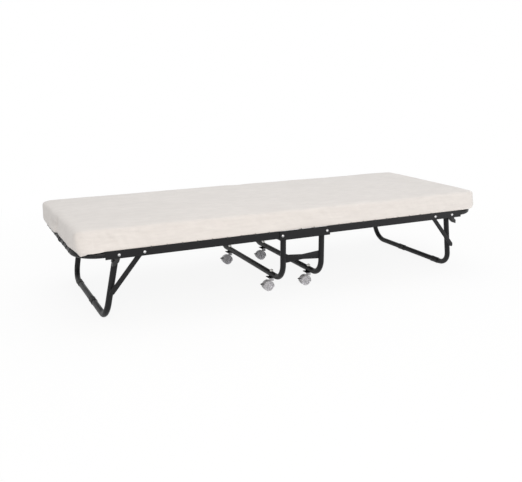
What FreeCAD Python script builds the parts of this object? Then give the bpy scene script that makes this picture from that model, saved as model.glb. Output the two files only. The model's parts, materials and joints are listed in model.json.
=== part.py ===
"""Folding guest cot: a rolling centre stand, two deck halves that fold up, and two folding end legs.

Units are millimetres. +X runs along the length of the cot, +Y across it, +Z up, and the origin is on
the floor at the middle. "right" is +X, "left" is -X, "front" is -Y and "rear" is +Y.
The left half is the right half turned half a revolution about Z, so every part of a half is drawn
once, as the right one, and placed twice.
"""
import FreeCAD, Part
import math
import os

import Sketcher
from FreeCAD import Placement, Rotation, Vector

# Driving dimensions: alias, value, meaning.
SIZES = [
    ("tube_diameter", 25.0, "outside diameter of the frame tubes"),
    ("tube_wall", 1.5, "wall of the frame tubes"),
    ("deck_half_length", 965.0, "middle of the cot to the outside of an end tube"),
    ("deck_half_width", 368.0, "middle of the cot to the outside of a deck rail"),
    ("deck_height", 300.5, "top of the deck rails above the floor"),
    ("rail_height", 32.0, "height of a deck rail"),
    ("rail_wall", 2.0, "wall of a deck rail"),
    ("rail_flange", 22.0, "width of the flange along a deck rail's top"),
    ("rail_flange_gap", 2.0, "centre rail's end to the start of a deck rail's flange"),
    ("end_corner_radius", 100.0, "bend of the end tube's corners"),
    ("end_arm_lead", 21.0, "end tube's arms start inboard of the brace's pivot"),
    ("cross_tube_diameter", 19.0, "outside diameter of the deck's cross tube"),
    ("cross_tube_place", 453.5, "cross tube from the middle of the cot"),
    ("hinge_place", 108.0, "deck hinge from the middle of the cot"),
    ("hinge_drop", 20.5, "deck hinge below the top of the rails"),
    ("hinge_boss_radius", 12.5, "rounded end of a deck rail about its hinge"),
    ("hinge_gap", 0.4, "deck rail to centre rail"),
    ("pin_diameter", 8.0, "every pivot rivet"),
    ("pin_clearance", 0.05, "radial running clearance on a pivot rivet"),
    ("head_diameter", 12.0, "heads of the pivot rivets"),
    ("head_height", 3.0, "domed outer head of a pivot rivet"),
    ("inner_head_height", 1.3, "flat inner head of a pivot rivet"),
    ("head_gap", 0.3, "inner head to the piece that turns on it"),
    ("centre_rail_overrun", 14.0, "centre rail beyond its hinges"),
    ("centre_rail_height", 39.5, "height of a centre rail"),
    ("centre_rail_wall", 3.0, "wall of a centre rail"),
    ("centre_rail_flange", 35.4, "width of the flange along a centre rail's foot"),
    ("stand_inset", 14.0, "stand tube inboard of the deck hinge"),
    ("stand_gap", 8.0, "deck rail to stand tube, side by side"),
    ("stand_corner_radius", 70.0, "bend of a stand tube's corners"),
    ("link_rise", 2.5, "link plate above the middle of the stand"),
    ("link_end_height", 38.0, "link plate where it meets the tubes"),
    ("link_waist_height", 22.0, "link plate at its waist"),
    ("link_wall", 4.0, "thickness of a link plate"),
    ("caster_inset", 110.5, "caster stem inboard of the stand tube's side"),
    ("caster_head", 16.0, "top of a caster above its wheels"),
    ("caster_plate_wall", 2.5, "thickness of a caster's mounting plate"),
    ("caster_plate_length", 36.0, "mounting plate along the cot"),
    ("caster_plate_width", 34.0, "mounting plate across the cot"),
    ("caster_plate_offset", 3.0, "mounting plate's middle behind the stem"),
    ("caster_trail", 18.0, "wheel axle behind the stem"),
    ("wheel_radius", 22.0, "caster wheel"),
    ("wheel_width", 8.0, "each of a caster's two wheels"),
    ("wheel_inner_half_gap", 6.0, "caster's middle to a wheel's inner face"),
    ("axle_diameter", 6.0, "caster axle"),
    ("hood_gap", 1.2, "wheel to the hood over it"),
    ("hood_wall", 2.0, "hood over the wheels"),
    ("hood_web", 10.4, "hood's web between the wheels"),
    ("hood_cap_clearance", 1.6, "top of the hood under the mounting plate"),
    ("stem_boss_diameter", 20.0, "hood's boss round the stem"),
    ("stem_diameter", 8.0, "caster stem"),
    ("stem_depth", 16.0, "foot of the stem below the top of the caster"),
    ("stem_flange_diameter", 15.0, "flange of the stem under the mounting plate"),
    ("nut_width", 13.0, "stem nut across its flats"),
    ("nut_height", 6.5, "stem nut"),
    ("stem_end", 2.5, "stem above its nut"),
    ("lever_pivot_back", 15.0, "brake lever's pin behind the axle"),
    ("lever_pivot_rise", 11.5, "brake lever's pin above the axle"),
    ("lever_arm_width", 4.4, "brake lever's arm"),
    ("lever_arm_height", 5.0, "brake lever's arm"),
    ("lever_pad_width", 14.0, "brake lever's pad"),
    ("lever_pad_length", 8.0, "brake lever's pad"),
    ("lever_pin_diameter", 3.0, "brake lever's pin"),
    ("lever_slot_height", 12.0, "slot that the brake lever moves in"),
    ("lever_gap", 0.4, "brake lever to its slot, each side"),
    ("leg_inset", 165.0, "end leg's pivot inboard of the end of the deck"),
    ("leg_pivot_drop", 18.0, "end leg's pivot below the top of the rails"),
    ("leg_splay", 50.0, "end leg's foot bar outboard of its pivot"),
    ("leg_gap", 6.5, "end tube's arm to the leg beside it"),
    ("leg_top", 8.0, "end leg above its pivot"),
    ("leg_corner_radius", 70.0, "bend of an end leg's corners"),
    ("leg_taper", 20.0, "end leg's side leans inwards from its pivot to its foot bar"),
    ("sleeve_wall", 2.0, "rubber foot sleeve"),
    ("sleeve_length", 45.0, "rubber foot sleeve"),
    ("sleeve_place_a", 68.0, "one foot sleeve from the middle of the bar"),
    ("sleeve_place_b", 205.0, "the other foot sleeve, on the other side"),
    ("stop_lead", 5.0, "stop block's start inboard of the leg's pivot"),
    ("stop_length", 31.0, "stop block along the cot"),
    ("stop_drop", 35.0, "stop block's outer end below the end tube"),
    ("stop_width", 20.0, "stop block across the cot"),
    ("stop_gap", 0.3, "stop's lip to the leg that leans on it"),
    ("lip_wall", 5.0, "thickness of a stop's lip"),
    ("lip_reach", 7.0, "how far a stop's lip laps behind the leg"),
    ("lip_drop", 8.0, "top of a stop's lip below the end tube"),
    ("lip_height", 16.0, "height of a stop's lip"),
    ("brace_lead", 99.0, "brace's pivot inboard of the leg's"),
    ("brace_width", 20.0, "brace bar"),
    ("brace_wall", 3.0, "brace bar"),
    ("brace_slot_depth", 1.8, "slot in the inner face of a brace"),
    ("brace_side_gap", 1.0, "end tube's arm to the brace beside it"),
    ("brace_stud_depth", 157.0, "brace stud down the leg from its pivot"),
    ("brace_tip", 12.0, "brace beyond its stud with the leg out"),
    ("brace_slot_play", 0.4, "slot wider than the stud"),
    ("fabric_side_gap", 68.0, "deck fabric's side inboard of the rail's outside"),
    ("fabric_wall", 1.5, "deck fabric"),
    ("fabric_start_gap", 2.0, "start of the flange to the start of a half's fabric"),
    ("fabric_end_gap", 46.0, "deck fabric's end to the end tube"),
    ("seam_gap", 0.3, "between the halves of the fabric or mattress and the middle"),
    ("spring_diameter", 7.0, "coil of a deck spring"),
    ("spring_drop", 4.5, "coil's middle below the deck's top"),
    ("spring_length", 32.0, "coil of a deck spring"),
    ("wire_width", 2.4, "wire of a spring's hook"),
    ("hook_rise", 2.5, "hook above the rail it goes over"),
    ("hook_drop", 7.5, "hook down the outside of its rail"),
    ("hook_hole_diameter", 6.0, "hole in the flange for a hook"),
    ("hook_rail_gap", 0.3, "hook to the rail it goes over"),
    ("spring_first", 170.0, "first spring from the middle of the cot"),
    ("spring_pitch", 63.0, "spring to spring"),
    ("spring_leg_gap", 20.0, "least from a spring to an end leg's pivot"),
    ("end_spring_inset", 48.0, "outermost end spring inboard of the fabric's side"),
    ("mattress_end_inset", 3.0, "mattress inboard of the end of the deck"),
    ("mattress_side_inset", 12.0, "mattress inboard of the rail's outside"),
    ("mattress_height", 84.0, "mattress"),
    ("mattress_split_gap", 10.0, "hinge to the end of the part over the stand"),
    ("mattress_corner_radius", 45.0, "mattress's upright corners"),
    ("mattress_edge_radius", 12.0, "mattress's long edges"),
    ("clip_place", 28.0, "strap clip in front of the end tube's middle"),
    ("clip_width", 14.0, "strap clip"),
    ("clip_wall", 3.0, "strap clip round the tube"),
    ("clip_tab", 8.0, "tab under the strap clip"),
]
SPRINGS_PER_END = 9
CENTRE_SPRINGS = (-19.0, 44.0)

# Sizes worked out from the driving ones, as expressions of the sheet.
TUBE_R = "(sizes.tube_diameter / 2)"
PIN_R = "(sizes.pin_diameter / 2)"
PIN_BORE_R = "(sizes.pin_diameter / 2 + sizes.pin_clearance)"
HINGE_HEIGHT = "(sizes.deck_height - sizes.hinge_drop)"
LEG_HEIGHT = "(sizes.deck_height - sizes.leg_pivot_drop)"
LEG_PLACE = "(sizes.deck_half_length - sizes.leg_inset)"
BRACE_PLACE = f"({LEG_PLACE} - sizes.brace_lead)"
ARM_START = f"({BRACE_PLACE} - sizes.end_arm_lead)"
CENTRE_REACH = "(sizes.hinge_place + sizes.centre_rail_overrun)"
FLANGE_START = f"({CENTRE_REACH} + sizes.rail_flange_gap)"
FABRIC_START = f"({FLANGE_START} + sizes.fabric_start_gap)"
FABRIC_SIDE = "(sizes.deck_half_width - sizes.fabric_side_gap)"
STAND_PLACE = "(sizes.hinge_place - sizes.stand_inset)"
RAIL_BOTTOM = "(sizes.deck_height - sizes.rail_height)"
WEB_INNER = "(sizes.deck_half_width - sizes.rail_wall)"
END_TUBE_HEIGHT = f"(sizes.deck_height - sizes.rail_wall - {TUBE_R})"
END_TUBE_PLACE = f"(sizes.deck_half_length - {TUBE_R})"
ARM_PLACE = f"({WEB_INNER} - {TUBE_R})"
ARM_INNER = f"({WEB_INNER} - sizes.tube_diameter)"
LEG_SIDE = f"({ARM_INNER} - sizes.leg_gap - {TUBE_R})"
BRACE_OUTER = f"({ARM_INNER} - sizes.brace_side_gap)"
BRACE_INNER = f"({BRACE_OUTER} - sizes.brace_wall)"
CENTRE_INNER = "(sizes.deck_half_width + sizes.hinge_gap)"
CENTRE_OUTER = f"({CENTRE_INNER} + sizes.centre_rail_wall)"
CENTRE_BOTTOM = "(sizes.deck_height - sizes.centre_rail_height)"
STAND_SIDE = f"({WEB_INNER} - sizes.stand_gap - {TUBE_R})"
CASTER_PLACE = f"({STAND_SIDE} - sizes.caster_inset)"
CASTER_TOP = "(2 * sizes.wheel_radius + sizes.caster_head)"
STEM_SEAT = f"({CASTER_TOP} - sizes.stem_depth)"
HOOD_CAP = f"({CASTER_TOP} - sizes.hood_cap_clearance)"
LEVER_PLACE = "(-sizes.caster_trail - sizes.lever_pivot_back)"
LEVER_HEIGHT = "(sizes.wheel_radius + sizes.lever_pivot_rise)"
STAND_BAR = f"({CASTER_TOP} + sizes.caster_plate_wall + {TUBE_R})"
LINK_HEIGHT = f"(({STAND_BAR} + {CENTRE_BOTTOM}) / 2 + sizes.link_rise)"
FOOT_BAR = f"({TUBE_R} + sizes.sleeve_wall)"
LEG_RISE = f"({LEG_HEIGHT} - {FOOT_BAR})"
LEG_DROP = f"(sqrt(sizes.leg_splay^2 + {LEG_RISE}^2))"
LEG_SLOPE = f"(sizes.leg_taper / {LEG_DROP})"
STUD_START = f"({LEG_SIDE} - {LEG_SLOPE} * sizes.brace_stud_depth + {TUBE_R} - sizes.tube_wall)"
STUD_FOLDED = "(sizes.brace_stud_depth - sizes.brace_lead)"
MATTRESS_SIDE = "(sizes.deck_half_width - sizes.mattress_side_inset)"
MATTRESS_END = "(sizes.deck_half_length - sizes.mattress_end_inset)"
MATTRESS_SPLIT = "(sizes.hinge_place + sizes.mattress_split_gap)"
MATTRESS_TOP = "(sizes.deck_height + sizes.mattress_height)"
FABRIC_END = f"({END_TUBE_PLACE} - {TUBE_R} - sizes.fabric_end_gap)"
SPRING_HEIGHT = "(sizes.deck_height - sizes.spring_drop)"
HOOK_HOLE = f"({WEB_INNER} - sizes.hook_hole_diameter / 2 - 2)"

doc = FreeCAD.newDocument("folding_cot")
sheet = doc.addObject("Spreadsheet::Sheet", "sizes")
NODES = []


def fill_sheet():
    """Write each driving dimension to the sheet with its alias and meaning."""
    for row, (alias, value, meaning) in enumerate(SIZES, start=1):
        sheet.set(f"A{row}", alias)
        sheet.set(f"B{row}", str(value))
        sheet.set(f"C{row}", meaning)
        sheet.setAlias(f"B{row}", alias)
    doc.recompute()


def value(expression):
    """Return the number that an expression of the sheet gives now."""
    return float(sheet.evalExpression(str(expression)))


# ---------------------------------------------------------------- sketch and feature helpers


def new_body(label):
    """Start a body whose label is its file's name."""
    body = doc.addObject("PartDesign::Body", label)
    body.Label = label
    NODES.append(body)
    return body


def new_sketch(body, role, offset="0"):
    """Attach a sketch to one of the body's own origin planes, moved along its normal by offset."""
    plane = next(item for item in body.Origin.OriginFeatures if item.Role == role)
    sketch = body.newObject("Sketcher::SketchObject", f"{body.Name}_sketch")
    sketch.AttachmentSupport = (plane, "")
    sketch.MapMode = "FlatFace"
    sketch.setExpression("AttachmentOffset.Base.z", offset)
    return sketch


def pin_point(sketch, item, end, place):
    """Tie a sketch point to its two coordinates, each an expression of the sheet."""
    for kind, axis, expression in (("DistanceX", -2, place[0]), ("DistanceY", -1, place[1])):
        number = value(expression)
        if abs(number) < 1e-9:
            sketch.addConstraint(Sketcher.Constraint("PointOnObject", item, end, axis))
            continue
        index = sketch.addConstraint(Sketcher.Constraint(kind, -1, 1, item, end, number))
        sketch.setExpression(f"Constraints[{index}]", str(expression))


def draw_polygon(sketch, places):
    """Draw a closed outline through the places, each a pair of expressions."""
    corners = [Vector(value(x), value(y), 0) for x, y in places]
    count = len(corners)
    lines = [sketch.addGeometry(Part.LineSegment(corners[i], corners[(i + 1) % count]), False)
             for i in range(count)]
    for i, line in enumerate(lines):
        sketch.addConstraint(Sketcher.Constraint("Coincident", line, 2, lines[(i + 1) % count], 1))
    for line, place in zip(lines, places):
        pin_point(sketch, line, 1, place)


def draw_box(sketch, low, high):
    """Draw a rectangle between two opposite corners."""
    draw_polygon(sketch, [low, (high[0], low[1]), high, (low[0], high[1])])


def draw_circle(sketch, centre, radius):
    """Draw a circle of a radius about a centre, all expressions."""
    middle = Vector(value(centre[0]), value(centre[1]), 0)
    circle = sketch.addGeometry(Part.Circle(middle, Vector(0, 0, 1), value(radius)), False)
    pin_point(sketch, circle, 3, centre)
    index = sketch.addConstraint(Sketcher.Constraint("Radius", circle, value(radius)))
    sketch.setExpression(f"Constraints[{index}]", str(radius))


def add_pad(body, sketch, length, both_ways=False):
    """Pad a sketch along its normal, or equally to both sides of its plane."""
    pad = body.newObject("PartDesign::Pad", f"{body.Name}_pad")
    pad.Profile = sketch
    pad.SideType = "Symmetric" if both_ways else "One side"
    pad.setExpression("Length", str(length))
    sketch.Visibility = False
    return pad


def add_through_cut(body, sketch):
    """Cut a sketch through the whole body, both ways from its plane."""
    cut = body.newObject("PartDesign::Pocket", f"{body.Name}_cut")
    cut.Profile = sketch
    cut.Type = "ThroughAll"
    cut.SideType = "Symmetric"
    sketch.Visibility = False
    return cut


def add_cut(body, sketch, length):
    """Cut a sketch to half of length each side of its plane."""
    cut = body.newObject("PartDesign::Pocket", f"{body.Name}_cut")
    cut.Profile = sketch
    cut.SideType = "Symmetric"
    cut.setExpression("Length", str(length))
    sketch.Visibility = False
    return cut


def add_row(body, feature, role, length, count):
    """Repeat a feature along one of the body's own axes."""
    row = body.newObject("PartDesign::LinearPattern", f"{body.Name}_row")
    row.Originals = [feature]
    axis = next(item for item in body.Origin.OriginFeatures if item.Role == role)
    row.Direction = (axis, [""])
    row.setExpression("Length", length)
    row.Occurrences = count
    body.Tip = row
    return row


def cut_holes(body, role, centres, radius):
    """Cut round holes through the body at each centre."""
    sketch = new_sketch(body, role)
    for centre in centres:
        draw_circle(sketch, centre, radius)
    return add_through_cut(body, sketch)


def bind(item, **places):
    """Tie parts of an object's placement, such as x or z, to expressions."""
    for axis, expression in places.items():
        item.setExpression(f"Placement.Base.{axis}", str(expression))


def turn(item, axis, degrees):
    """Turn an object about a coordinate axis through its own origin."""
    item.Placement.Rotation = Rotation(axis, degrees)


UP = Vector(0, 0, 1)
ACROSS = Vector(0, 1, 0)
ALONG = Vector(1, 0, 0)


def make_u_tube(label, half_width, top, bottom, radius, taper="0"):
    """Make a bent tube in the local YZ plane: down one side, along the bottom and up the other.

    Its sides are half_width from the middle at height zero, and taper nearer to it at the bottom.
    """
    slope = f"({taper} / abs({bottom}))"
    lean = math.atan(value(slope))
    stretch = f"sqrt(1 + {slope}^2)"
    reach = f"({radius} * ({stretch} - {slope}))"
    rise = f"({reach} / {stretch})"
    straight = f"({half_width} - {taper} - {reach})"
    bend_side = f"({half_width} - {taper} + {slope} * {rise})"
    bend_top = f"({bottom} + {rise})"
    top_side = f"({half_width} + {slope} * ({top}))"
    body = new_body(label)
    profile = new_sketch(body, "XY_Plane", top)
    profile.AttachmentOffset = Placement(Vector(0, 0, 0), Rotation(ALONG, math.degrees(lean)))
    profile.setExpression("AttachmentOffset.Base.y", f"-{top_side}")
    draw_circle(profile, ("0", "0"), TUBE_R)
    draw_circle(profile, ("0", "0"), f"{TUBE_R} - sizes.tube_wall")
    path = new_sketch(body, "YZ_Plane")
    corners = [[value(item) for item in place] for place in
               ((f"-{top_side}", top), (f"-{bend_side}", bend_top), (f"-{straight}", bottom),
                (straight, bottom), (bend_side, bend_top), (top_side, top))]
    left, base, right = [
        path.addGeometry(Part.LineSegment(Vector(*corners[i], 0), Vector(*corners[i + 1], 0)), False)
        for i in (0, 2, 4)]
    bend = value(radius)
    for sign, start, stop in ((-1, math.pi + lean, 1.5 * math.pi), (1, 1.5 * math.pi, 2 * math.pi - lean)):
        centre = Vector(sign * value(straight), value(bottom) + bend, 0)
        circle = Part.Circle(centre, Vector(0, 0, 1), bend)
        arc = path.addGeometry(Part.ArcOfCircle(circle, start, stop), False)
        first, first_end, second, second_end = (left, 2, base, 1) if sign < 0 else (base, 2, right, 1)
        path.addConstraint(Sketcher.Constraint("Coincident", arc, 1, first, first_end))
        path.addConstraint(Sketcher.Constraint("Coincident", arc, 2, second, second_end))
        index = path.addConstraint(Sketcher.Constraint("Radius", arc, bend))
        path.setExpression(f"Constraints[{index}]", str(radius))
    pin_point(path, left, 1, (f"-{top_side}", top))
    pin_point(path, left, 2, (f"-{bend_side}", bend_top))
    pin_point(path, base, 1, (f"-{straight}", bottom))
    pin_point(path, base, 2, (straight, bottom))
    pin_point(path, right, 1, (bend_side, bend_top))
    pin_point(path, right, 2, (top_side, top))
    tube = body.newObject("PartDesign::AdditivePipe", f"{label}_pipe")
    tube.Profile = profile
    tube.Spine = (path, [])
    profile.Visibility = path.Visibility = False
    return body


def make_tube(label, radius, wall, length):
    """Make a straight tube along Y, centred on its own origin."""
    body = new_body(label)
    ring = new_sketch(body, "XZ_Plane")
    draw_circle(ring, ("0", "0"), radius)
    draw_circle(ring, ("0", "0"), f"{radius} - {wall}")
    add_pad(body, ring, length, both_ways=True)
    return body


def revolve_ring(body, places):
    """Turn an outline in the local XZ plane about the local Z axis."""
    outline = new_sketch(body, "XZ_Plane")
    draw_polygon(outline, places)
    turned = body.newObject("PartDesign::Revolution", f"{body.Name}_turned")
    turned.Profile = outline
    axis = next(item for item in body.Origin.OriginFeatures if item.Role == "Z_Axis")
    turned.ReferenceAxis = (axis, [""])
    turned.Angle = 360
    outline.Visibility = False
    return turned


def add_group(label, shapes):
    """Keep several like solids as one part, such as a set of identical fasteners."""
    feature = doc.addObject("Part::Feature", label)
    feature.Label = label
    feature.Shape = Part.makeCompound(shapes)
    NODES.append(feature)
    return feature


def side_name(x_sign):
    """Name an end of the cot by the sign of its X."""
    return "right" if x_sign > 0 else "left"


def row_name(y_sign):
    """Name a long side of the cot by the sign of its Y."""
    return "rear" if y_sign > 0 else "front"


def put_at_end(item, x_sign):
    """Turn a piece drawn at the right end half a revolution when it belongs to the left one."""
    if x_sign < 0:
        turn(item, UP, 180)


# ---------------------------------------------------------------- centre stand


def make_stand_tube(x_sign):
    """Make a wide U of tube that stands on two casters and carries the centre rails."""
    tube = make_u_tube(f"stand_tube_{side_name(x_sign)}", STAND_SIDE, CENTRE_BOTTOM, STAND_BAR,
                       "sizes.stand_corner_radius")
    stems = [("0", f"{sign} * {CASTER_PLACE}") for sign in (-1, 1)]
    holes = new_sketch(tube, "XY_Plane")
    for stem in stems:
        draw_circle(holes, stem, "sizes.stem_diameter / 2")
    add_through_cut(tube, holes)
    bind(tube, x=f"{x_sign} * {STAND_PLACE}")


def make_centre_rail(y_sign):
    """Make the angle that both deck halves hinge on, its flange seated on the stand tubes."""
    rail = new_body(f"centre_rail_{row_name(y_sign)}")
    profile = new_sketch(rail, "YZ_Plane")
    foot = f"({CENTRE_BOTTOM} + sizes.centre_rail_wall)"
    draw_polygon(profile, [
        (f"{y_sign} * {CENTRE_OUTER}", CENTRE_BOTTOM),
        (f"{y_sign} * {CENTRE_OUTER}", "sizes.deck_height"),
        (f"{y_sign} * {CENTRE_INNER}", "sizes.deck_height"),
        (f"{y_sign} * {CENTRE_INNER}", foot),
        (f"{y_sign} * ({CENTRE_OUTER} - sizes.centre_rail_flange)", foot),
        (f"{y_sign} * ({CENTRE_OUTER} - sizes.centre_rail_flange)", CENTRE_BOTTOM),
    ])
    add_pad(rail, profile, f"2 * {CENTRE_REACH}", both_ways=True)
    hinges = [(f"{sign} * sizes.hinge_place", HINGE_HEIGHT) for sign in (-1, 1)]
    cut_holes(rail, "XZ_Plane", hinges, PIN_R)


def make_link_plate(y_sign):
    """Make the waisted plate that ties the two stand tubes together, its ends coped to them."""
    plate = new_body(f"link_plate_{row_name(y_sign)}")
    profile = new_sketch(plate, "XZ_Plane", f"-{y_sign} * {STAND_SIDE} - sizes.link_wall / 2")
    corners = [(-1, STAND_PLACE, -1, "sizes.link_end_height"),
               (0, "0", -1, "sizes.link_waist_height"),
               (1, STAND_PLACE, -1, "sizes.link_end_height"),
               (1, STAND_PLACE, 1, "sizes.link_end_height"),
               (0, "0", 1, "sizes.link_waist_height"),
               (-1, STAND_PLACE, 1, "sizes.link_end_height")]
    draw_polygon(profile, [(f"{x} * {reach}", f"{LINK_HEIGHT} + {z} * {height} / 2")
                           for x, reach, z, height in corners])
    add_pad(plate, profile, "sizes.link_wall")
    tubes = new_sketch(plate, "XY_Plane")
    for sign in (-1, 1):
        draw_circle(tubes, (f"{sign} * {STAND_PLACE}", f"{y_sign} * {STAND_SIDE}"), TUBE_R)
    add_through_cut(plate, tubes)


def make_hinge_rivets():
    """Make the four rivets that hold the deck rails to the centre rails."""
    shank = value(f"{CENTRE_OUTER} - {WEB_INNER} + sizes.head_gap")
    rivets = [make_rivet(x_sign * value("sizes.hinge_place"), value(HINGE_HEIGHT), y_sign,
                         value(CENTRE_OUTER), shank)
              for x_sign in (-1, 1) for y_sign in (-1, 1)]
    add_group("hinge_rivets", rivets)


def make_rivet(x, z, y_sign, face, shank):
    """Return a rivet across the cot: a domed head outside face, a shank and a flat inner head."""
    pin = Part.makeCylinder(value(PIN_R), shank, Vector(0, 0, 0), ACROSS)
    head_r, head_h = value("sizes.head_diameter / 2"), value("sizes.head_height")
    sphere_r = (head_r ** 2 + head_h ** 2) / (2 * head_h)
    ball = Part.makeSphere(sphere_r, Vector(0, sphere_r - head_h, 0))
    room = Part.makeBox(4 * head_r, head_h, 4 * head_r, Vector(-2 * head_r, -head_h, -2 * head_r))
    inner = Part.makeCylinder(head_r, value("sizes.inner_head_height"), Vector(0, shank, 0), ACROSS)
    rivet = pin.fuse([ball.common(room), inner]).removeSplitter()
    turned = Rotation(UP, 0 if y_sign < 0 else 180)
    rivet.Placement = Placement(Vector(x, y_sign * face, z), turned)
    return rivet


def make_caster_plate(x_sign, y_sign):
    """Make the mounting plate between a stand tube and its caster."""
    plate = new_body(f"caster_plate_{row_name(y_sign)}_{side_name(x_sign)}")
    outline = new_sketch(plate, "XY_Plane")
    middle = "-sizes.caster_plate_offset"
    draw_box(outline, (f"{middle} - sizes.caster_plate_length / 2", "-sizes.caster_plate_width / 2"),
             (f"{middle} + sizes.caster_plate_length / 2", "sizes.caster_plate_width / 2"))
    add_pad(plate, outline, "sizes.caster_plate_wall")
    cut_holes(plate, "XY_Plane", [("0", "0")], "sizes.stem_diameter / 2")
    bind(plate, x=f"{x_sign} * {STAND_PLACE}", y=f"{y_sign} * {CASTER_PLACE}",
         z=CASTER_TOP)


def make_caster_stem(x_sign, y_sign):
    """Make a caster's stem, with its flange under the plate and its nut on top of the tube."""
    stem = new_body(f"caster_stem_{row_name(y_sign)}_{side_name(x_sign)}")
    tube_top = f"({STAND_BAR} + {TUBE_R})"
    nut_top = f"({tube_top} + sizes.nut_height)"
    flange_foot = f"({HOOD_CAP} + 0.2)"
    radius, flange = "sizes.stem_diameter / 2", "sizes.stem_flange_diameter / 2"
    revolve_ring(stem, [("0", STEM_SEAT), (radius, STEM_SEAT), (radius, flange_foot),
                        (flange, flange_foot), (flange, CASTER_TOP),
                        (radius, CASTER_TOP), (radius, f"{nut_top} + sizes.stem_end"),
                        ("0", f"{nut_top} + sizes.stem_end")])
    nut = new_sketch(stem, "XY_Plane", tube_top)
    corner = "(sizes.nut_width / 2 / cos(30))"
    draw_polygon(nut, [(f"{corner} * cos({angle})", f"{corner} * sin({angle})")
                       for angle in range(30, 390, 60)])
    add_pad(stem, nut, "sizes.nut_height")
    bind(stem, x=f"{x_sign} * {STAND_PLACE}", y=f"{y_sign} * {CASTER_PLACE}")


# ---------------------------------------------------------------- casters


def make_caster_hood(x_sign, y_sign):
    """Make a caster's swivel: a web, a hood over both wheels and a boss round the stem."""
    hood = new_body(f"caster_hood_{row_name(y_sign)}_{side_name(x_sign)}")
    axle = ("-sizes.caster_trail", "sizes.wheel_radius")
    outer = "(sizes.wheel_radius + sizes.hood_gap + sizes.hood_wall)"
    inner = "(sizes.wheel_radius + sizes.hood_gap)"
    width = "(2 * (sizes.wheel_inner_half_gap + sizes.wheel_width))"
    shell = new_sketch(hood, "XZ_Plane")
    draw_circle(shell, axle, outer)
    add_pad(hood, shell, width, both_ways=True)
    boss = new_sketch(hood, "XY_Plane", STEM_SEAT)
    draw_circle(boss, ("0", "0"), "sizes.stem_boss_diameter / 2")
    add_pad(hood, boss, f"{HOOD_CAP} - {STEM_SEAT}")
    for y in (-1, 1):
        room = new_sketch(hood, "XZ_Plane", f"{y} * ({width} + sizes.hood_web) / 4")
        draw_circle(room, axle, inner)
        add_cut(hood, room, f"({width} - sizes.hood_web) / 2 + 0.02")
    lower = new_sketch(hood, "XZ_Plane")
    draw_box(lower, (f"{axle[0]} - 2 * {outer}", "-sizes.wheel_radius"),
             (f"{axle[0]} + 2 * {outer}", "sizes.wheel_radius - sizes.axle_diameter"))
    add_through_cut(hood, lower)
    cut_holes(hood, "XZ_Plane", [axle], "sizes.axle_diameter / 2 + sizes.pin_clearance")
    stem_hole = new_sketch(hood, "XY_Plane", f"({HOOD_CAP} + {STEM_SEAT}) / 2")
    draw_circle(stem_hole, ("0", "0"), "sizes.stem_diameter / 2 + sizes.pin_clearance")
    add_cut(hood, stem_hole, f"{HOOD_CAP} - {STEM_SEAT} + 0.4")
    cut_lever_room(hood)
    bind(hood, x=f"{x_sign} * {STAND_PLACE}", y=f"{y_sign} * {CASTER_PLACE}")


def cut_lever_room(hood):
    """Cut the slot in a hood that its brake lever moves in, and the bore for the lever's pin."""
    reach = "(sizes.wheel_radius + sizes.hood_gap + 2 * sizes.hood_wall)"
    slot = new_sketch(hood, "XZ_Plane")
    draw_box(slot, (f"-sizes.caster_trail - {reach}", f"{LEVER_HEIGHT} - sizes.lever_slot_height / 2"),
             (f"{LEVER_PLACE} + sizes.lever_arm_height", f"{LEVER_HEIGHT} + sizes.lever_slot_height / 2"))
    add_cut(hood, slot, "sizes.lever_arm_width + 2 * sizes.lever_gap")
    cut_holes(hood, "XZ_Plane", [(LEVER_PLACE, LEVER_HEIGHT)],
              "sizes.lever_pin_diameter / 2 + sizes.pin_clearance")


def make_brake_lever(x_sign, y_sign):
    """Make a caster's brake lever: an arm on a pin inside the hood and a foot pad outside it."""
    lever = new_body(f"brake_lever_{row_name(y_sign)}_{side_name(x_sign)}")
    pad_x = "(-sizes.caster_trail - sizes.wheel_radius - sizes.hood_gap - sizes.hood_wall - 1.5)"
    low = f"{LEVER_HEIGHT} - sizes.lever_arm_height / 2"
    high = f"{LEVER_HEIGHT} + sizes.lever_arm_height / 2"
    arm = new_sketch(lever, "XZ_Plane")
    draw_box(arm, (f"{pad_x} - 1", low), (f"{LEVER_PLACE} + sizes.lever_arm_height / 2", high))
    add_pad(lever, arm, "sizes.lever_arm_width", both_ways=True)
    pad = new_sketch(lever, "XZ_Plane")
    draw_polygon(pad, [(pad_x, low), (pad_x, high), (f"{pad_x} - sizes.lever_pad_length", f"{high} - 3"),
                       (f"{pad_x} - sizes.lever_pad_length", f"{low} - 1")])
    add_pad(lever, pad, "sizes.lever_pad_width", both_ways=True)
    pin = new_sketch(lever, "XZ_Plane")
    draw_circle(pin, (LEVER_PLACE, LEVER_HEIGHT), "sizes.lever_pin_diameter / 2")
    add_pad(lever, pin, "sizes.hood_web - 0.4", both_ways=True)
    bind(lever, x=f"{x_sign} * {STAND_PLACE}", y=f"{y_sign} * {CASTER_PLACE}")


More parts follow.
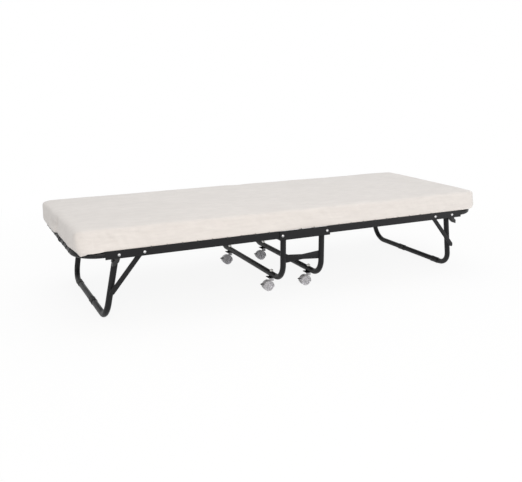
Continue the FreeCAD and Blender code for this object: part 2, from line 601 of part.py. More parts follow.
def make_caster_wheels(x_sign, y_sign):
    """Make a caster's two dished wheels on their axle."""
    wheels = new_body(f"caster_wheels_{row_name(y_sign)}_{side_name(x_sign)}")
    inner, outer = "sizes.wheel_inner_half_gap", "(sizes.wheel_inner_half_gap + sizes.wheel_width)"
    axle = "(sizes.axle_diameter / 2)"
    hub, rim = "(sizes.axle_diameter)", "(sizes.wheel_radius - 5)"
    half = [(axle, inner), ("sizes.wheel_radius - 2", inner), ("sizes.wheel_radius", f"{inner} + 2"),
            ("sizes.wheel_radius", f"{outer} - 2"), ("sizes.wheel_radius - 2", outer), (rim, outer),
            (f"{rim} - 1", f"{outer} - 3"), (f"{hub} + 1", f"{outer} - 3"), (hub, outer)]
    outline = [("0", outer)] + [("0", f"-{outer}")]
    outline += [(x, f"-({z})") for x, z in reversed(half)] + half
    revolve_ring(wheels, outline)
    turn(wheels, Vector(1, 0, 0), 90)
    bind(wheels, x=f"{x_sign} * {STAND_PLACE} - sizes.caster_trail",
         y=f"{y_sign} * {CASTER_PLACE}", z="sizes.wheel_radius")


# ---------------------------------------------------------------- deck halves


def spring_places():
    """Return where along a half its springs hook over the rail, and where they end at the arm."""
    first, pitch = value("sizes.spring_first"), value("sizes.spring_pitch")
    count = int((value(FABRIC_END) - first) / pitch) + 1
    places = [first + i * pitch for i in range(count)]
    arm, room = value(ARM_START), value("sizes.hook_hole_diameter / 2")
    on_rail = [x for x in places if x < arm - room]
    on_arm = [x for x in places
              if x > arm + room and abs(x - value(LEG_PLACE)) > value("sizes.spring_leg_gap")]
    return on_rail, on_arm


def make_deck_rail(x_sign, y_sign):
    """Make an angle along a deck half's side, drawn at the right end on the canonical side."""
    rail = new_body(f"deck_rail_{row_name(x_sign * y_sign)}_{side_name(x_sign)}")
    end = f"({END_TUBE_PLACE} - sizes.end_corner_radius)"
    web = new_sketch(rail, "YZ_Plane", "sizes.hinge_place")
    draw_box(web, (f"{y_sign} * {WEB_INNER}", RAIL_BOTTOM),
             (f"{y_sign} * sizes.deck_half_width", "sizes.deck_height"))
    add_pad(rail, web, f"{end} - sizes.hinge_place")
    flange = new_sketch(rail, "YZ_Plane", FLANGE_START)
    draw_box(flange, (f"{y_sign} * {WEB_INNER}", "sizes.deck_height - sizes.rail_wall"),
             (f"{y_sign} * (sizes.deck_half_width - sizes.rail_flange)", "sizes.deck_height"))
    add_pad(rail, flange, f"{end} - {FLANGE_START}")
    middle = f"({WEB_INNER} + sizes.rail_wall / 2)"
    boss = new_sketch(rail, "XZ_Plane", f"-{y_sign} * {middle} - sizes.rail_wall / 2")
    draw_circle(boss, ("sizes.hinge_place", HINGE_HEIGHT), "sizes.hinge_boss_radius")
    add_pad(rail, boss, "sizes.rail_wall")
    cut_holes(rail, "XZ_Plane", [("sizes.hinge_place", HINGE_HEIGHT)], PIN_BORE_R)
    cut_holes(rail, "XZ_Plane", [(LEG_PLACE, LEG_HEIGHT), (BRACE_PLACE, LEG_HEIGHT)], PIN_R)
    hook = new_sketch(rail, "XY_Plane", "sizes.deck_height - sizes.rail_wall / 2")
    draw_circle(hook, ("sizes.spring_first", f"{y_sign} * {HOOK_HOLE}"), "sizes.hook_hole_diameter / 2")
    hole = add_cut(rail, hook, "2 * sizes.rail_wall")
    count = len(spring_places()[0])
    add_row(rail, hole, "X_Axis", f"{count - 1} * sizes.spring_pitch", count)
    put_at_end(rail, x_sign)


def make_end_tube(x_sign):
    """Make the round tube that closes a deck half's outer end, its arms inside the rails."""
    tube = make_u_tube(f"end_tube_{side_name(x_sign)}", ARM_PLACE, f"-{ARM_START}",
                       f"-{END_TUBE_PLACE}", "sizes.end_corner_radius")
    drop = f"{-x_sign} * ({END_TUBE_HEIGHT} - {LEG_HEIGHT})"
    cut_holes(tube, "XZ_Plane", [(drop, f"-{LEG_PLACE}"), (drop, f"-{BRACE_PLACE}")], PIN_R)
    turn(tube, ACROSS, -90 * x_sign)
    bind(tube, z=END_TUBE_HEIGHT)


def make_cross_tube(x_sign):
    """Make the tube that holds a deck half's two rails apart under the fabric."""
    tube = make_tube(f"cross_tube_{side_name(x_sign)}", "(sizes.cross_tube_diameter / 2)",
                     "sizes.tube_wall", f"2 * {WEB_INNER}")
    bind(tube, x=f"{x_sign} * sizes.cross_tube_place", z=END_TUBE_HEIGHT)


def make_fabric(x_sign):
    """Make the woven panel of a deck half."""
    fabric = new_body(f"deck_fabric_{side_name(x_sign)}")
    outline = new_sketch(fabric, "XY_Plane", "sizes.deck_height - sizes.fabric_wall")
    draw_box(outline, (FABRIC_START, f"-{FABRIC_SIDE}"), (FABRIC_END, FABRIC_SIDE))
    add_pad(fabric, outline, "sizes.fabric_wall")
    put_at_end(fabric, x_sign)


def make_centre_fabric():
    """Make the strip of deck fabric over the stand, which bends when the halves fold."""
    fabric = new_body("deck_fabric_centre")
    outline = new_sketch(fabric, "XY_Plane", "sizes.deck_height - sizes.fabric_wall")
    reach = f"({FABRIC_START} - sizes.seam_gap)"
    draw_box(outline, (f"-{reach}", f"-{FABRIC_SIDE}"), (reach, FABRIC_SIDE))
    add_pad(fabric, outline, "sizes.fabric_wall")


def make_rail_spring(x, y_sign, face):
    """Return a coil spring from the fabric's hem, with its hook over a rail whose outside is face."""
    height, wire = value(SPRING_HEIGHT), value("sizes.wire_width")
    hem, length = value(FABRIC_SIDE), value("sizes.spring_length")
    top = value("sizes.deck_height + sizes.hook_rise")
    outer = face + value("sizes.hook_rail_gap") + wire
    inner = value(HOOK_HOLE) + wire / 2 + face - value("sizes.deck_half_width")
    low = height - wire / 2
    coil = Part.makeCylinder(value("sizes.spring_diameter / 2"), length, Vector(x, hem, height), ACROSS)
    foot = top - value("sizes.hook_drop")
    bars = [(hem + length, inner, low, low + wire), (inner - wire, inner, low, top),
            (inner - wire, outer, top - wire + 0.2, top), (outer - wire, outer, foot, top)]
    shape = coil.fuse([Part.makeBox(wire, y1 - y0, z1 - z0, Vector(x - wire / 2, y0, z0))
                       for y0, y1, z0, z1 in bars]).removeSplitter()
    return shape if y_sign > 0 else turned_about(shape, Vector(x, 0, 0))


def turned_about(shape, centre):
    """Return a copy of a shape turned half a revolution about an upright line."""
    copy = shape.copy()
    copy.rotate(centre, UP, 180)
    return copy


def make_tube_spring(hem, tube_place, y=0.0, turn_degrees=0.0, x=0.0):
    """Return a coil spring from a hem of the fabric, with its wire out to the tube beyond it.

    It is drawn along +X at y, turned about Z and then moved by x.
    """
    height, wire = value(SPRING_HEIGHT), value("sizes.wire_width")
    start, length = value(hem), value("sizes.spring_length")
    low = height - wire / 2
    depth = math.sqrt(value(TUBE_R) ** 2 - (low - value(END_TUBE_HEIGHT)) ** 2)
    end = value(tube_place) - depth - value("sizes.hook_rail_gap")
    coil = Part.makeCylinder(value("sizes.spring_diameter / 2"), length, Vector(start, y, height),
                             Vector(1, 0, 0))
    bar = Part.makeBox(end - start - length, wire, wire, Vector(start + length, y - wire / 2, low))
    spring = coil.fuse(bar).removeSplitter()
    spring.rotate(Vector(0, 0, 0), UP, turn_degrees)
    spring.translate(Vector(x, 0, 0))
    return spring


def make_springs(x_sign):
    """Make the springs that stretch a deck half's fabric to its rails and its end tube."""
    on_rail, on_arm = spring_places()
    face, span = value("sizes.deck_half_width"), value(f"{FABRIC_SIDE} - sizes.end_spring_inset")
    springs = [make_rail_spring(x, y_sign, face) for x in on_rail for y_sign in (-1, 1)]
    springs += [make_tube_spring(FABRIC_SIDE, ARM_PLACE, turn_degrees=90 * y_sign, x=x)
                for x in on_arm for y_sign in (-1, 1)]
    step = 2 * span / (SPRINGS_PER_END - 1)
    springs += [make_tube_spring(FABRIC_END, END_TUBE_PLACE, y=-span + i * step)
                for i in range(SPRINGS_PER_END)]
    put_at_end(add_group(f"deck_springs_{side_name(x_sign)}", springs), x_sign)


def make_centre_springs():
    """Make the springs that stretch the strip of fabric over the stand."""
    face = value(CENTRE_OUTER)
    add_group("deck_springs_centre", [make_rail_spring(x, y_sign, face)
                                      for x in CENTRE_SPRINGS for y_sign in (-1, 1)])


def make_pivot_rivets(x_sign):
    """Make the rivets through a deck half's rails that its leg and its two braces turn on."""
    face, height = value("sizes.deck_half_width"), value(LEG_HEIGHT)
    lean = f"{LEG_SLOPE} * sizes.head_diameter / 2"
    leg_shank = face - value(f"{LEG_SIDE} - {TUBE_R} - {lean} - sizes.head_gap")
    brace_shank = face - value(f"{BRACE_INNER} - sizes.head_gap / 2")
    rivets = []
    for y_sign in (-1, 1):
        rivets.append(make_rivet(value(LEG_PLACE), height, y_sign, face, leg_shank))
        rivets.append(make_rivet(value(BRACE_PLACE), height, y_sign, face, brace_shank))
    put_at_end(add_group(f"pivot_rivets_{side_name(x_sign)}", rivets), x_sign)


def leg_slope():
    """Return how far the leg moves outboard for each millimetre that it goes down."""
    return value("sizes.leg_splay") / value(LEG_RISE)


def extruded(outline, low, high):
    """Return a prism of an outline in X and Z, from one place across the cot to another."""
    corners = [Vector(x, low, z) for x, z in outline]
    return Part.Face(Part.makePolygon(corners + corners[:1])).extrude(Vector(0, high - low, 0))


def leg_face(z):
    """Return where along the cot the open leg's outboard side is at a height, with the stop's gap."""
    lean = value(TUBE_R) * math.hypot(1, leg_slope()) + value("sizes.stop_gap")
    return value(LEG_PLACE) + leg_slope() * (value(LEG_HEIGHT) - z) + lean


def make_leg_stops(x_sign):
    """Make the two blocks under the end tube, each with a lip that the open leg leans on."""
    top, wall = value(f"{END_TUBE_HEIGHT} - {TUBE_R}"), value("sizes.lip_wall")
    length, drop = value("sizes.stop_length"), value("sizes.stop_drop")
    start = value(f"{LEG_PLACE} - sizes.stop_lead")
    shares = [(0, 0), (0.65, 0), (0.7, 0.3), (1, 0.55), (1, 1), (0.7, 0.92), (0.2, 0.55)]
    outline = [(start + along * length, top - down * drop) for along, down in shares]
    high = top - value("sizes.lip_drop")
    low = high - value("sizes.lip_height")
    lip = [(leg_face(high), high), (leg_face(high) + wall, high), (leg_face(low) + wall, low),
           (leg_face(low), low)]
    outer, leg_side = value(WEB_INNER) - 0.5, value(f"{LEG_SIDE} + {TUBE_R}")
    inner = outer - value("sizes.stop_width")
    rear = extruded(outline, inner, outer).fuse(
        extruded(lip, leg_side - value("sizes.lip_reach"), inner + 1)).removeSplitter()
    front = rear.mirror(Vector(0, 0, 0), ACROSS)
    put_at_end(add_group(f"leg_stops_{side_name(x_sign)}", [front, rear]), x_sign)


def make_strap_clip():
    """Make the plastic clip round the left end tube that holds the storage strap."""
    clip = new_body("strap_clip")
    outer = f"({TUBE_R} + sizes.clip_wall)"
    ring = new_sketch(clip, "XZ_Plane")
    draw_circle(ring, ("0", "0"), outer)
    add_pad(clip, ring, "sizes.clip_width", both_ways=True)
    tab = new_sketch(clip, "XZ_Plane")
    draw_box(tab, ("-sizes.clip_wall", f"-{outer} - sizes.clip_tab + sizes.clip_wall"),
             ("sizes.clip_wall", f"-{TUBE_R} - 1"))
    add_pad(clip, tab, "sizes.clip_width", both_ways=True)
    cut_holes(clip, "XZ_Plane", [("0", "0")], TUBE_R)
    top = new_sketch(clip, "XZ_Plane")
    draw_box(top, (f"-2 * {outer}", f"{TUBE_R} - 2"), (f"2 * {outer}", f"2 * {outer}"))
    add_through_cut(clip, top)
    bind(clip, x=f"-{END_TUBE_PLACE}", y="-sizes.clip_place", z=END_TUBE_HEIGHT)


def add_fillet(body, pick, radius):
    """Round the edges of a body that pick chooses."""
    doc.recompute()
    base = body.Tip
    names = [f"Edge{i}" for i, edge in enumerate(base.Shape.Edges, start=1) if pick(edge)]
    fillet = body.newObject("PartDesign::Fillet", f"{body.Name}_fillet")
    fillet.Base = (base, names)
    fillet.setExpression("Radius", radius)
    return fillet


def make_mattress(x_sign):
    """Make the mattress over one deck half, as a plain solid."""
    mattress = new_body(f"mattress_{side_name(x_sign)}")
    outline = new_sketch(mattress, "XY_Plane", "sizes.deck_height")
    draw_box(outline, (MATTRESS_SPLIT, f"-{MATTRESS_SIDE}"), (MATTRESS_END, MATTRESS_SIDE))
    add_pad(mattress, outline, "sizes.mattress_height")
    end = value(MATTRESS_END)

    def is_outer_corner(edge):
        """Tell an upright edge at the outer end from the others."""
        box = edge.BoundBox
        return box.XMin > end - 1e-3 and box.YLength < 1e-3
    add_fillet(mattress, is_outer_corner, "sizes.mattress_corner_radius")
    top = value(MATTRESS_TOP)

    def is_outer_rim(edge):
        """Tell a top edge from the others, apart from the one at the middle."""
        box = edge.BoundBox
        return box.ZMin > top - 1e-3 and box.XMax > value(MATTRESS_SPLIT) + 1e-3
    add_fillet(mattress, is_outer_rim, "sizes.mattress_edge_radius")
    put_at_end(mattress, x_sign)


def make_centre_mattress():
    """Make the part of the mattress over the stand, which bends when the halves fold."""
    mattress = new_body("mattress_centre")
    outline = new_sketch(mattress, "XY_Plane", "sizes.deck_height")
    reach = f"({MATTRESS_SPLIT} - sizes.seam_gap)"
    draw_box(outline, (f"-{reach}", f"-{MATTRESS_SIDE}"), (reach, MATTRESS_SIDE))
    add_pad(mattress, outline, "sizes.mattress_height")
    top = value(MATTRESS_TOP)

    def is_long_rim(edge):
        """Tell a top edge along the cot from the others."""
        box = edge.BoundBox
        return box.ZMin > top - 1e-3 and box.YLength < 1e-3
    add_fillet(mattress, is_long_rim, "sizes.mattress_edge_radius")


# ---------------------------------------------------------------- end legs and braces


def lean_degrees():
    """Return the end leg's lean outboard from upright."""
    return math.degrees(math.atan(leg_slope()))


def lean_leg_piece(item, x_sign):
    """Place a piece drawn about the leg's pivot, leaning outboard at its own end of the cot."""
    lean = Rotation(ACROSS, -lean_degrees())
    item.Placement.Rotation = Rotation(UP, 0 if x_sign > 0 else 180).multiply(lean)
    bind(item, x=f"{x_sign} * {LEG_PLACE}", z=LEG_HEIGHT)


def make_leg_tube(x_sign):
    """Make an end leg: a wide U of tube with a short stud on each side for its brace."""
    leg = make_u_tube(f"leg_tube_{side_name(x_sign)}", LEG_SIDE, "sizes.leg_top", f"-{LEG_DROP}",
                      "sizes.leg_corner_radius", "sizes.leg_taper")
    stud_end = f"({BRACE_INNER} - sizes.head_gap)"
    stud_length = f"({stud_end} - {STUD_START})"
    for y_sign in (-1, 1):
        stud = new_sketch(leg, "XZ_Plane", STUD_START if y_sign < 0 else f"-{stud_end}")
        draw_circle(stud, ("0", "-sizes.brace_stud_depth"), PIN_R)
        add_pad(leg, stud, stud_length)
    cut_holes(leg, "XZ_Plane", [("0", "0")], PIN_BORE_R)
    lean_leg_piece(leg, x_sign)


def make_foot_sleeves(x_sign):
    """Make the two rubber sleeves on a leg's foot bar that stand on the floor."""
    tube_r, wall = value(TUBE_R), value("sizes.sleeve_wall")
    length, drop = value("sizes.sleeve_length"), value(LEG_DROP)
    sleeves = []
    for place in (value("sizes.sleeve_place_a"), -value("sizes.sleeve_place_b")):
        start = Vector(0, place - length / 2, -drop)
        outer = Part.makeCylinder(tube_r + wall, length, start, ACROSS)
        sleeves.append(outer.cut(Part.makeCylinder(tube_r, length, start, ACROSS)))
    lean_leg_piece(add_group(f"foot_sleeves_{side_name(x_sign)}", sleeves), x_sign)


def brace_length():
    """Return the distance from a brace's pivot to its stud with the leg out."""
    slope, depth = leg_slope(), value("sizes.brace_stud_depth")
    down = depth / math.hypot(1, slope)
    across = value("sizes.brace_lead") + slope * down
    return math.hypot(across, down), math.degrees(math.atan2(down, across))


def make_brace(x_sign, y_sign):
    """Make a flat bar from a deck rail to the leg, its inner face slotted for the leg's stud."""
    brace = new_body(f"brace_{row_name(x_sign * y_sign)}_{side_name(x_sign)}")
    reach, droop = brace_length()
    outline = new_sketch(brace, "XZ_Plane", BRACE_INNER if y_sign < 0 else f"-{BRACE_OUTER}")
    half, tip = "(sizes.brace_width / 2)", f"({reach:.9f} + sizes.brace_tip)"
    draw_polygon(outline, [(f"-{half} * 0.6", f"-{half}"), (f"{tip} - {half}", f"-{half}"),
                           (tip, f"-{half} * 0.3"), (tip, f"{half} * 0.3"), (f"{tip} - {half}", half),
                           (f"-{half} * 0.6", half), (f"-{half}", f"{half} * 0.5"),
                           (f"-{half}", f"-{half} * 0.5")])
    add_pad(brace, outline, "sizes.brace_wall")
    slot_half = f"({PIN_R} + sizes.brace_slot_play / 2)"
    slot = new_sketch(brace, "XZ_Plane", f"-{y_sign} * {BRACE_INNER}")
    draw_box(slot, (f"{STUD_FOLDED} - {slot_half}", f"-{slot_half}"),
             (f"{reach:.9f} + {slot_half}", slot_half))
    add_cut(brace, slot, "2 * sizes.brace_slot_depth")
    cut_holes(brace, "XZ_Plane", [("0", "0")], PIN_BORE_R)
    droop_turn = Rotation(ACROSS, droop)
    brace.Placement.Rotation = Rotation(UP, 0 if x_sign > 0 else 180).multiply(droop_turn)
    bind(brace, x=f"{x_sign} * {BRACE_PLACE}", z=LEG_HEIGHT)


# ---------------------------------------------------------------- the whole cot


def make_stand():
    """Make everything that stays on the floor between the two deck halves."""
    for sign in (-1, 1):
        make_stand_tube(sign)
        make_centre_rail(sign)
        make_link_plate(sign)
    for x_sign in (-1, 1):
        for y_sign in (-1, 1):
            make_caster_plate(x_sign, y_sign)
            make_caster_stem(x_sign, y_sign)
            make_caster_hood(x_sign, y_sign)
            make_brake_lever(x_sign, y_sign)
            make_caster_wheels(x_sign, y_sign)
    make_hinge_rivets()
    make_centre_fabric()
    make_centre_springs()
    make_centre_mattress()


def make_half(x_sign):
    """Make a deck half with its leg and braces."""
    for y_sign in (-1, 1):
        make_deck_rail(x_sign, y_sign)
        make_brace(x_sign, y_sign)
    make_end_tube(x_sign)
    make_cross_tube(x_sign)
    make_fabric(x_sign)
    make_springs(x_sign)
    make_pivot_rivets(x_sign)
    make_leg_stops(x_sign)
    make_mattress(x_sign)
    make_leg_tube(x_sign)
    make_foot_sleeves(x_sign)


def check_parts():
    """Stop if any object failed or any part has no sound shape."""
    for item in doc.Objects:
        if {"Invalid", "Error"} & set(item.State):
            raise RuntimeError(f"{item.Label} failed: {item.State}")
    for node in NODES:
        if node.Shape.isNull() or not node.Shape.isValid() or not node.Shape.Solids:
            raise RuntimeError(f"{node.Label} has no valid solid")


def write_parts():
    """Write each part's shape to its own file."""
    os.makedirs("parts", exist_ok=True)
    for node in NODES:
        node.Shape.exportStep(f"parts/{node.Label}.step")


fill_sheet()
make_stand()
make_half(1)
make_half(-1)
make_strap_clip()
doc.recompute()
check_parts()
write_parts()
print(len(NODES), "parts")
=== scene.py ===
"""Folding guest cot: the finishes, springs, woven deck, casters and mattress that dress its frame.

Lengths are in metres. +X runs along the cot to its right end, +Y across it to the rear, +Z up.
Places come from the frame's own solids, so a piece follows the frame when a size changes.
"""

import json
import logging
import math
from collections.abc import Sequence
from dataclasses import dataclass, field
from enum import Enum
from typing import Any, ClassVar

import bmesh
import bpy
from mathutils import Euler, Matrix, Vector, noise


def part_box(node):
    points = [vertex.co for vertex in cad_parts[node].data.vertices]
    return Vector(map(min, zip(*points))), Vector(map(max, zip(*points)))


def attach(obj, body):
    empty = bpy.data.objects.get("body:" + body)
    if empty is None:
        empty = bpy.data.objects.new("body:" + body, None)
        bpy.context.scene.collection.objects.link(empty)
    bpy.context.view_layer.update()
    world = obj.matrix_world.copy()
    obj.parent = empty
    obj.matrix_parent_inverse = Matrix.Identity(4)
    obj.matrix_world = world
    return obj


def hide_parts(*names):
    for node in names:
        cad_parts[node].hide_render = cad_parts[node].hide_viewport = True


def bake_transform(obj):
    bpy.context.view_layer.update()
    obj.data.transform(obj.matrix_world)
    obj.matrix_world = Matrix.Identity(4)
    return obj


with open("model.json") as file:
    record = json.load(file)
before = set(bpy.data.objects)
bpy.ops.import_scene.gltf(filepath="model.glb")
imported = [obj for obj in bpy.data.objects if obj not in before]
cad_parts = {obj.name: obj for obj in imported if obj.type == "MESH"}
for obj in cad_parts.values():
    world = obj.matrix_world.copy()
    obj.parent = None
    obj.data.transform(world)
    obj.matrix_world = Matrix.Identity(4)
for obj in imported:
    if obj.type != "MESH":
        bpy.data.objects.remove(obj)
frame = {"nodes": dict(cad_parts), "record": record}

log = logging.getLogger("folding_cot")
MM = 0.001
WELD_GAP = 0.02 * MM
Colour = tuple[float, float, float]
Point = tuple[float, float, float]
Pair = tuple[float, float]


class Side(Enum):
    """A side of the cot, with the sign of its places."""

    @property
    def word(self) -> str:
        """The side's name as the frame writes it."""
        return self.name.lower()


class End(Side):
    """One end of the cot, with the sign of its X."""

    LEFT = -1
    RIGHT = 1


class Row(Side):
    """One long side of the cot, with the sign of its Y."""

    FRONT = -1
    REAR = 1


# ---------------------------------------------------------------- shader trees


class Socket:
    """An output of a shader node that takes part in Python expressions."""

    def __init__(self, tree: "ShaderTree", output: bpy.types.NodeSocket) -> None:
        """Keep the output and the tree that holds its node."""
        self.tree = tree
        self.output = output

    def __getitem__(self, key: str | int) -> "Socket":
        """Return another output of the same node, by name or by number."""
        return Socket(self.tree, self.output.node.outputs[key])

    def _math(self, operation: str, first: "Value", second: "Value") -> "Socket":
        """Add a Math node for an operation on two values and return its result."""
        return self.tree.node("ShaderNodeMath", {"operation": operation}, {0: first, 1: second})

    def __add__(self, other: "Value") -> "Socket":
        """Add a value."""
        return self._math("ADD", self, other)

    def __radd__(self, other: "Value") -> "Socket":
        """Add this to a value."""
        return self._math("ADD", other, self)

    def __sub__(self, other: "Value") -> "Socket":
        """Take a value away."""
        return self._math("SUBTRACT", self, other)

    def __rsub__(self, other: "Value") -> "Socket":
        """Take this away from a value."""
        return self._math("SUBTRACT", other, self)

    def __mul__(self, other: "Value") -> "Socket":
        """Multiply by a value."""
        return self._math("MULTIPLY", self, other)

    def __rmul__(self, other: "Value") -> "Socket":
        """Multiply a value by this."""
        return self._math("MULTIPLY", other, self)


Value = Socket | float | Colour


class NodeTree:
    """A node tree that is built from Python."""

    def __init__(self, tree: bpy.types.NodeTree) -> None:
        """Keep the tree to build in."""
        self.tree = tree

    def add(self, kind: str, settings: dict[str, Any] | None = None,
            inputs: dict[str | int, Any] | None = None) -> bpy.types.Node:
        """Add any node.

        Args:
            kind: The node's type.
            settings: Its settings, set first.
            inputs: A value, a socket or a list of sockets for each of its inputs.

        Returns:
            The node.
        """
        made = self.tree.nodes.new(kind)
        for key, setting in (settings or {}).items():
            setattr(made, key, setting)
        for key, given in (inputs or {}).items():
            socket = made.inputs[key]
            for one in given if isinstance(given, list) else [given]:
                if isinstance(one, bpy.types.NodeSocket):
                    self.tree.links.new(one, socket)
                else:
                    colour = isinstance(one, tuple) and socket.type == "RGBA"
                    socket.default_value = (*one, 1.0) if colour else one
        return made


class ShaderTree(NodeTree):
    """A material's or a world's shader tree."""

    def __init__(self, holder: bpy.types.Material | bpy.types.World) -> None:
        """Start with an empty tree.

        Args:
            holder: The material or world that the tree belongs to.
        """
        holder.use_nodes = True
        super().__init__(holder.node_tree)
        self.holder = holder
        self.tree.nodes.clear()

    def node(self, kind: str, settings: dict[str, Any] | None = None,
             inputs: dict[str | int, "Value"] | None = None) -> Socket:
        """Add any node.

        Args:
            kind: The node's type.
            settings: Its settings, set first.
            inputs: A value or a link for each of its inputs.

        Returns:
            The node's first output.
        """
        plain = {key: given.output if isinstance(given, Socket) else given
                 for key, given in (inputs or {}).items()}
        return Socket(self, self.add(kind, settings, plain).outputs[0])

    def end(self, kind: str, shader: Socket) -> None:
        """End the tree with an output node of a kind that shows a shader."""
        self.add(f"ShaderNodeOutput{kind}", inputs={"Surface": shader.output})

    def coordinates(self, stretch: Point = (1.0, 1.0, 1.0)) -> Socket:
        """Return Object coordinates, stretched by a Mapping node."""
        place = self.node("ShaderNodeTexCoord")["Object"]
        return self.node("ShaderNodeMapping", inputs={"Vector": place, "Scale": stretch})

    def noise(self, scale: float, detail: float = 2.0, roughness: float = 0.5,
              stretch: Point = (1.0, 1.0, 1.0)) -> Socket:
        """Return smooth noise from 0 to 1 at a scale in cycles per metre."""
        return self.node("ShaderNodeTexNoise", inputs={
            "Vector": self.coordinates(stretch), "Scale": scale, "Detail": detail,
            "Roughness": roughness})["Fac"]

    def mix(self, share: Value, first: Value, second: Value) -> Socket:
        """Return a blend of two colours by a share from 0 to 1."""
        return self.node("ShaderNodeMix", {"data_type": "RGBA", "clamp_factor": True},
                         {0: share, 6: first, 7: second})[2]

    def remap(self, given: Socket, low: float, high: float, to_low: float = 0.0,
              to_high: float = 1.0) -> Socket:
        """Return a value moved from one range to another and held within it."""
        return self.node("ShaderNodeMapRange", {"clamp": True}, {
            "Value": given, "From Min": low, "From Max": high, "To Min": to_low, "To Max": to_high})

    def bump(self, height: Socket, distance: float, strength: float = 1.0) -> Socket:
        """Return a normal that shows a height in metres of relief."""
        return self.node("ShaderNodeBump", inputs={
            "Height": height, "Distance": distance, "Strength": strength})

    def wave(self, place: Socket, length: float) -> Socket:
        """Return a sine wave of a length along a coordinate."""
        return self.node("ShaderNodeMath", {"operation": "SINE"}, {0: place * (2 * math.pi / length)})

    def seen(self) -> Socket:
        """Tell direct sight from the light that falls on things.

        Returns:
            1 for what the camera sees directly, in a mirror or through clear plastic, and 0 for the rest.
        """
        path = self.node("ShaderNodeLightPath")
        seen = path["Is Camera Ray"]
        for ray in ("Is Glossy Ray", "Is Transmission Ray"):
            seen = self.node("ShaderNodeMath", {"operation": "MAXIMUM"}, {0: seen, 1: path[ray]})
        return seen

    def surface(self, **sockets: Value) -> bpy.types.Material:
        """Finish the material with one Principled surface.

        Args:
            **sockets: Its sockets, with underscores for the spaces in their names.

        Returns:
            The finished material.
        """
        named = {key.replace("_", " "): given for key, given in sockets.items()}
        self.end("Material", self.node("ShaderNodeBsdfPrincipled", inputs=named))
        return self.holder


# ---------------------------------------------------------------- finishes


@dataclass(frozen=True)
class Finish:
    """How one kind of surface looks: its slot in the record and its colour."""

    slot: str
    colour: Colour
    made: ClassVar[dict[str, bpy.types.Material]] = {}

    def paint(self, tree: ShaderTree) -> bpy.types.Material:
        """Build the finish in a tree and return its material."""
        raise NotImplementedError

    def material(self) -> bpy.types.Material:
        """Build the finish's material the first time that it is asked for.

        Returns:
            The material.
        """
        if self.slot not in self.made:
            self.made[self.slot] = self.paint(ShaderTree(bpy.data.materials.new(self.slot)))
        return self.made[self.slot]

    def shade(self, factor: float) -> Colour:
        """Return the finish's colour, lighter or darker by a factor."""
        return tuple(min(1.0, part * factor) for part in self.colour)


@dataclass(frozen=True)
class PowderCoat(Finish):
    """Satin powder coat: an orange-peel skin with faint speckle and scuffs."""

    roughness: float = 0.42
    gloss: float = 0.2
    peel: float = 900.0
    speckle: float = 2600.0
    scuffs: float = 38.0
    worn: float = 2.2
    relief: float = 0.12 * MM

    def paint(self, tree: ShaderTree) -> bpy.types.Material:
        """Build the coat in a tree.

        Args:
            tree: The material's empty tree.

        Returns:
            The coat's material.
        """
        peel = tree.noise(self.peel)
        speckle = tree.remap(tree.noise(self.speckle, 1.0), 0.62, 0.74)
        scuff = tree.remap(tree.noise(self.scuffs, 6.0, 0.62, (1.0, 0.35, 1.0)), 0.56, 0.78)
        colour = tree.mix(speckle * 0.35 + scuff * 0.3, self.colour, self.shade(self.worn))
        roughness = self.roughness + scuff * 0.16 + (peel - 0.5) * 0.10
        return tree.surface(Base_Color=colour, Roughness=roughness, Specular_IOR_Level=self.gloss,
                            Normal=tree.bump(peel, self.relief))


@dataclass(frozen=True)
class PlatedSteel(Finish):
    """Bare or plated steel: bright, with fine streaks and duller patches."""

    roughness: float = 0.28
    streaks: float = 6.0
    stretch: Point = (400.0, 400.0, 60.0)
    patches: float = 160.0
    dull: float = 0.72
    relief: float = 0.03 * MM

    def paint(self, tree: ShaderTree) -> bpy.types.Material:
        """Build the plating in a tree.

        Args:
            tree: The material's empty tree.

        Returns:
            The plating's material.
        """
        streak = tree.noise(self.streaks, 3.0, stretch=self.stretch)
        patch = tree.noise(self.patches, 3.0)
        colour = tree.mix(tree.remap(patch, 0.35, 0.7), self.colour, self.shade(self.dull))
        roughness = self.roughness + streak * 0.12 + patch * 0.06
        return tree.surface(Base_Color=colour, Metallic=1.0, Roughness=roughness,
                            Normal=tree.bump(streak, self.relief))


@dataclass(frozen=True)
class ClearPlastic(Finish):
    """Pale, half-clear moulded plastic with flow marks."""

    roughness: float = 0.22
    transmission: float = 0.35
    bending: float = 1.46
    flow: float = 120.0
    haze: float = 700.0
    dull: float = 0.7
    relief: float = 0.15 * MM

    def paint(self, tree: ShaderTree) -> bpy.types.Material:
        """Build the clear plastic in a tree.

        Args:
            tree: The material's empty tree.

        Returns:
            The plastic's material.
        """
        flow = tree.noise(self.flow, 3.0, stretch=(1.0, 1.0, 2.4))
        colour = tree.mix(tree.remap(flow, 0.3, 0.75), self.colour, self.shade(self.dull))
        roughness = self.roughness + tree.noise(self.haze) * 0.12
        return tree.surface(Base_Color=colour, Roughness=roughness, Transmission_Weight=self.transmission,
                            IOR=self.bending, Normal=tree.bump(flow, self.relief))


@dataclass(frozen=True)
class MouldedBlack(Finish):
    """Black moulded plastic or rubber with a fine spark-eroded grain."""

    roughness: float = 0.5
    grain: float = 1500.0
    dust: float = 60.0
    dusty: float = 2.4
    relief: float = 0.1 * MM

    def paint(self, tree: ShaderTree) -> bpy.types.Material:
        """Build the moulding's skin in a tree.

        Args:
            tree: The material's empty tree.

        Returns:
            The moulding's material.
        """
        grain = tree.noise(self.grain)
        dust = tree.remap(tree.noise(self.dust, 5.0, 0.6), 0.5, 0.8)
        colour = tree.mix(dust * 0.35, self.colour, self.shade(self.dusty))
        return tree.surface(Base_Color=colour, Roughness=self.roughness + (grain - 0.5) * 0.16,
                            Normal=tree.bump(grain, self.relief))


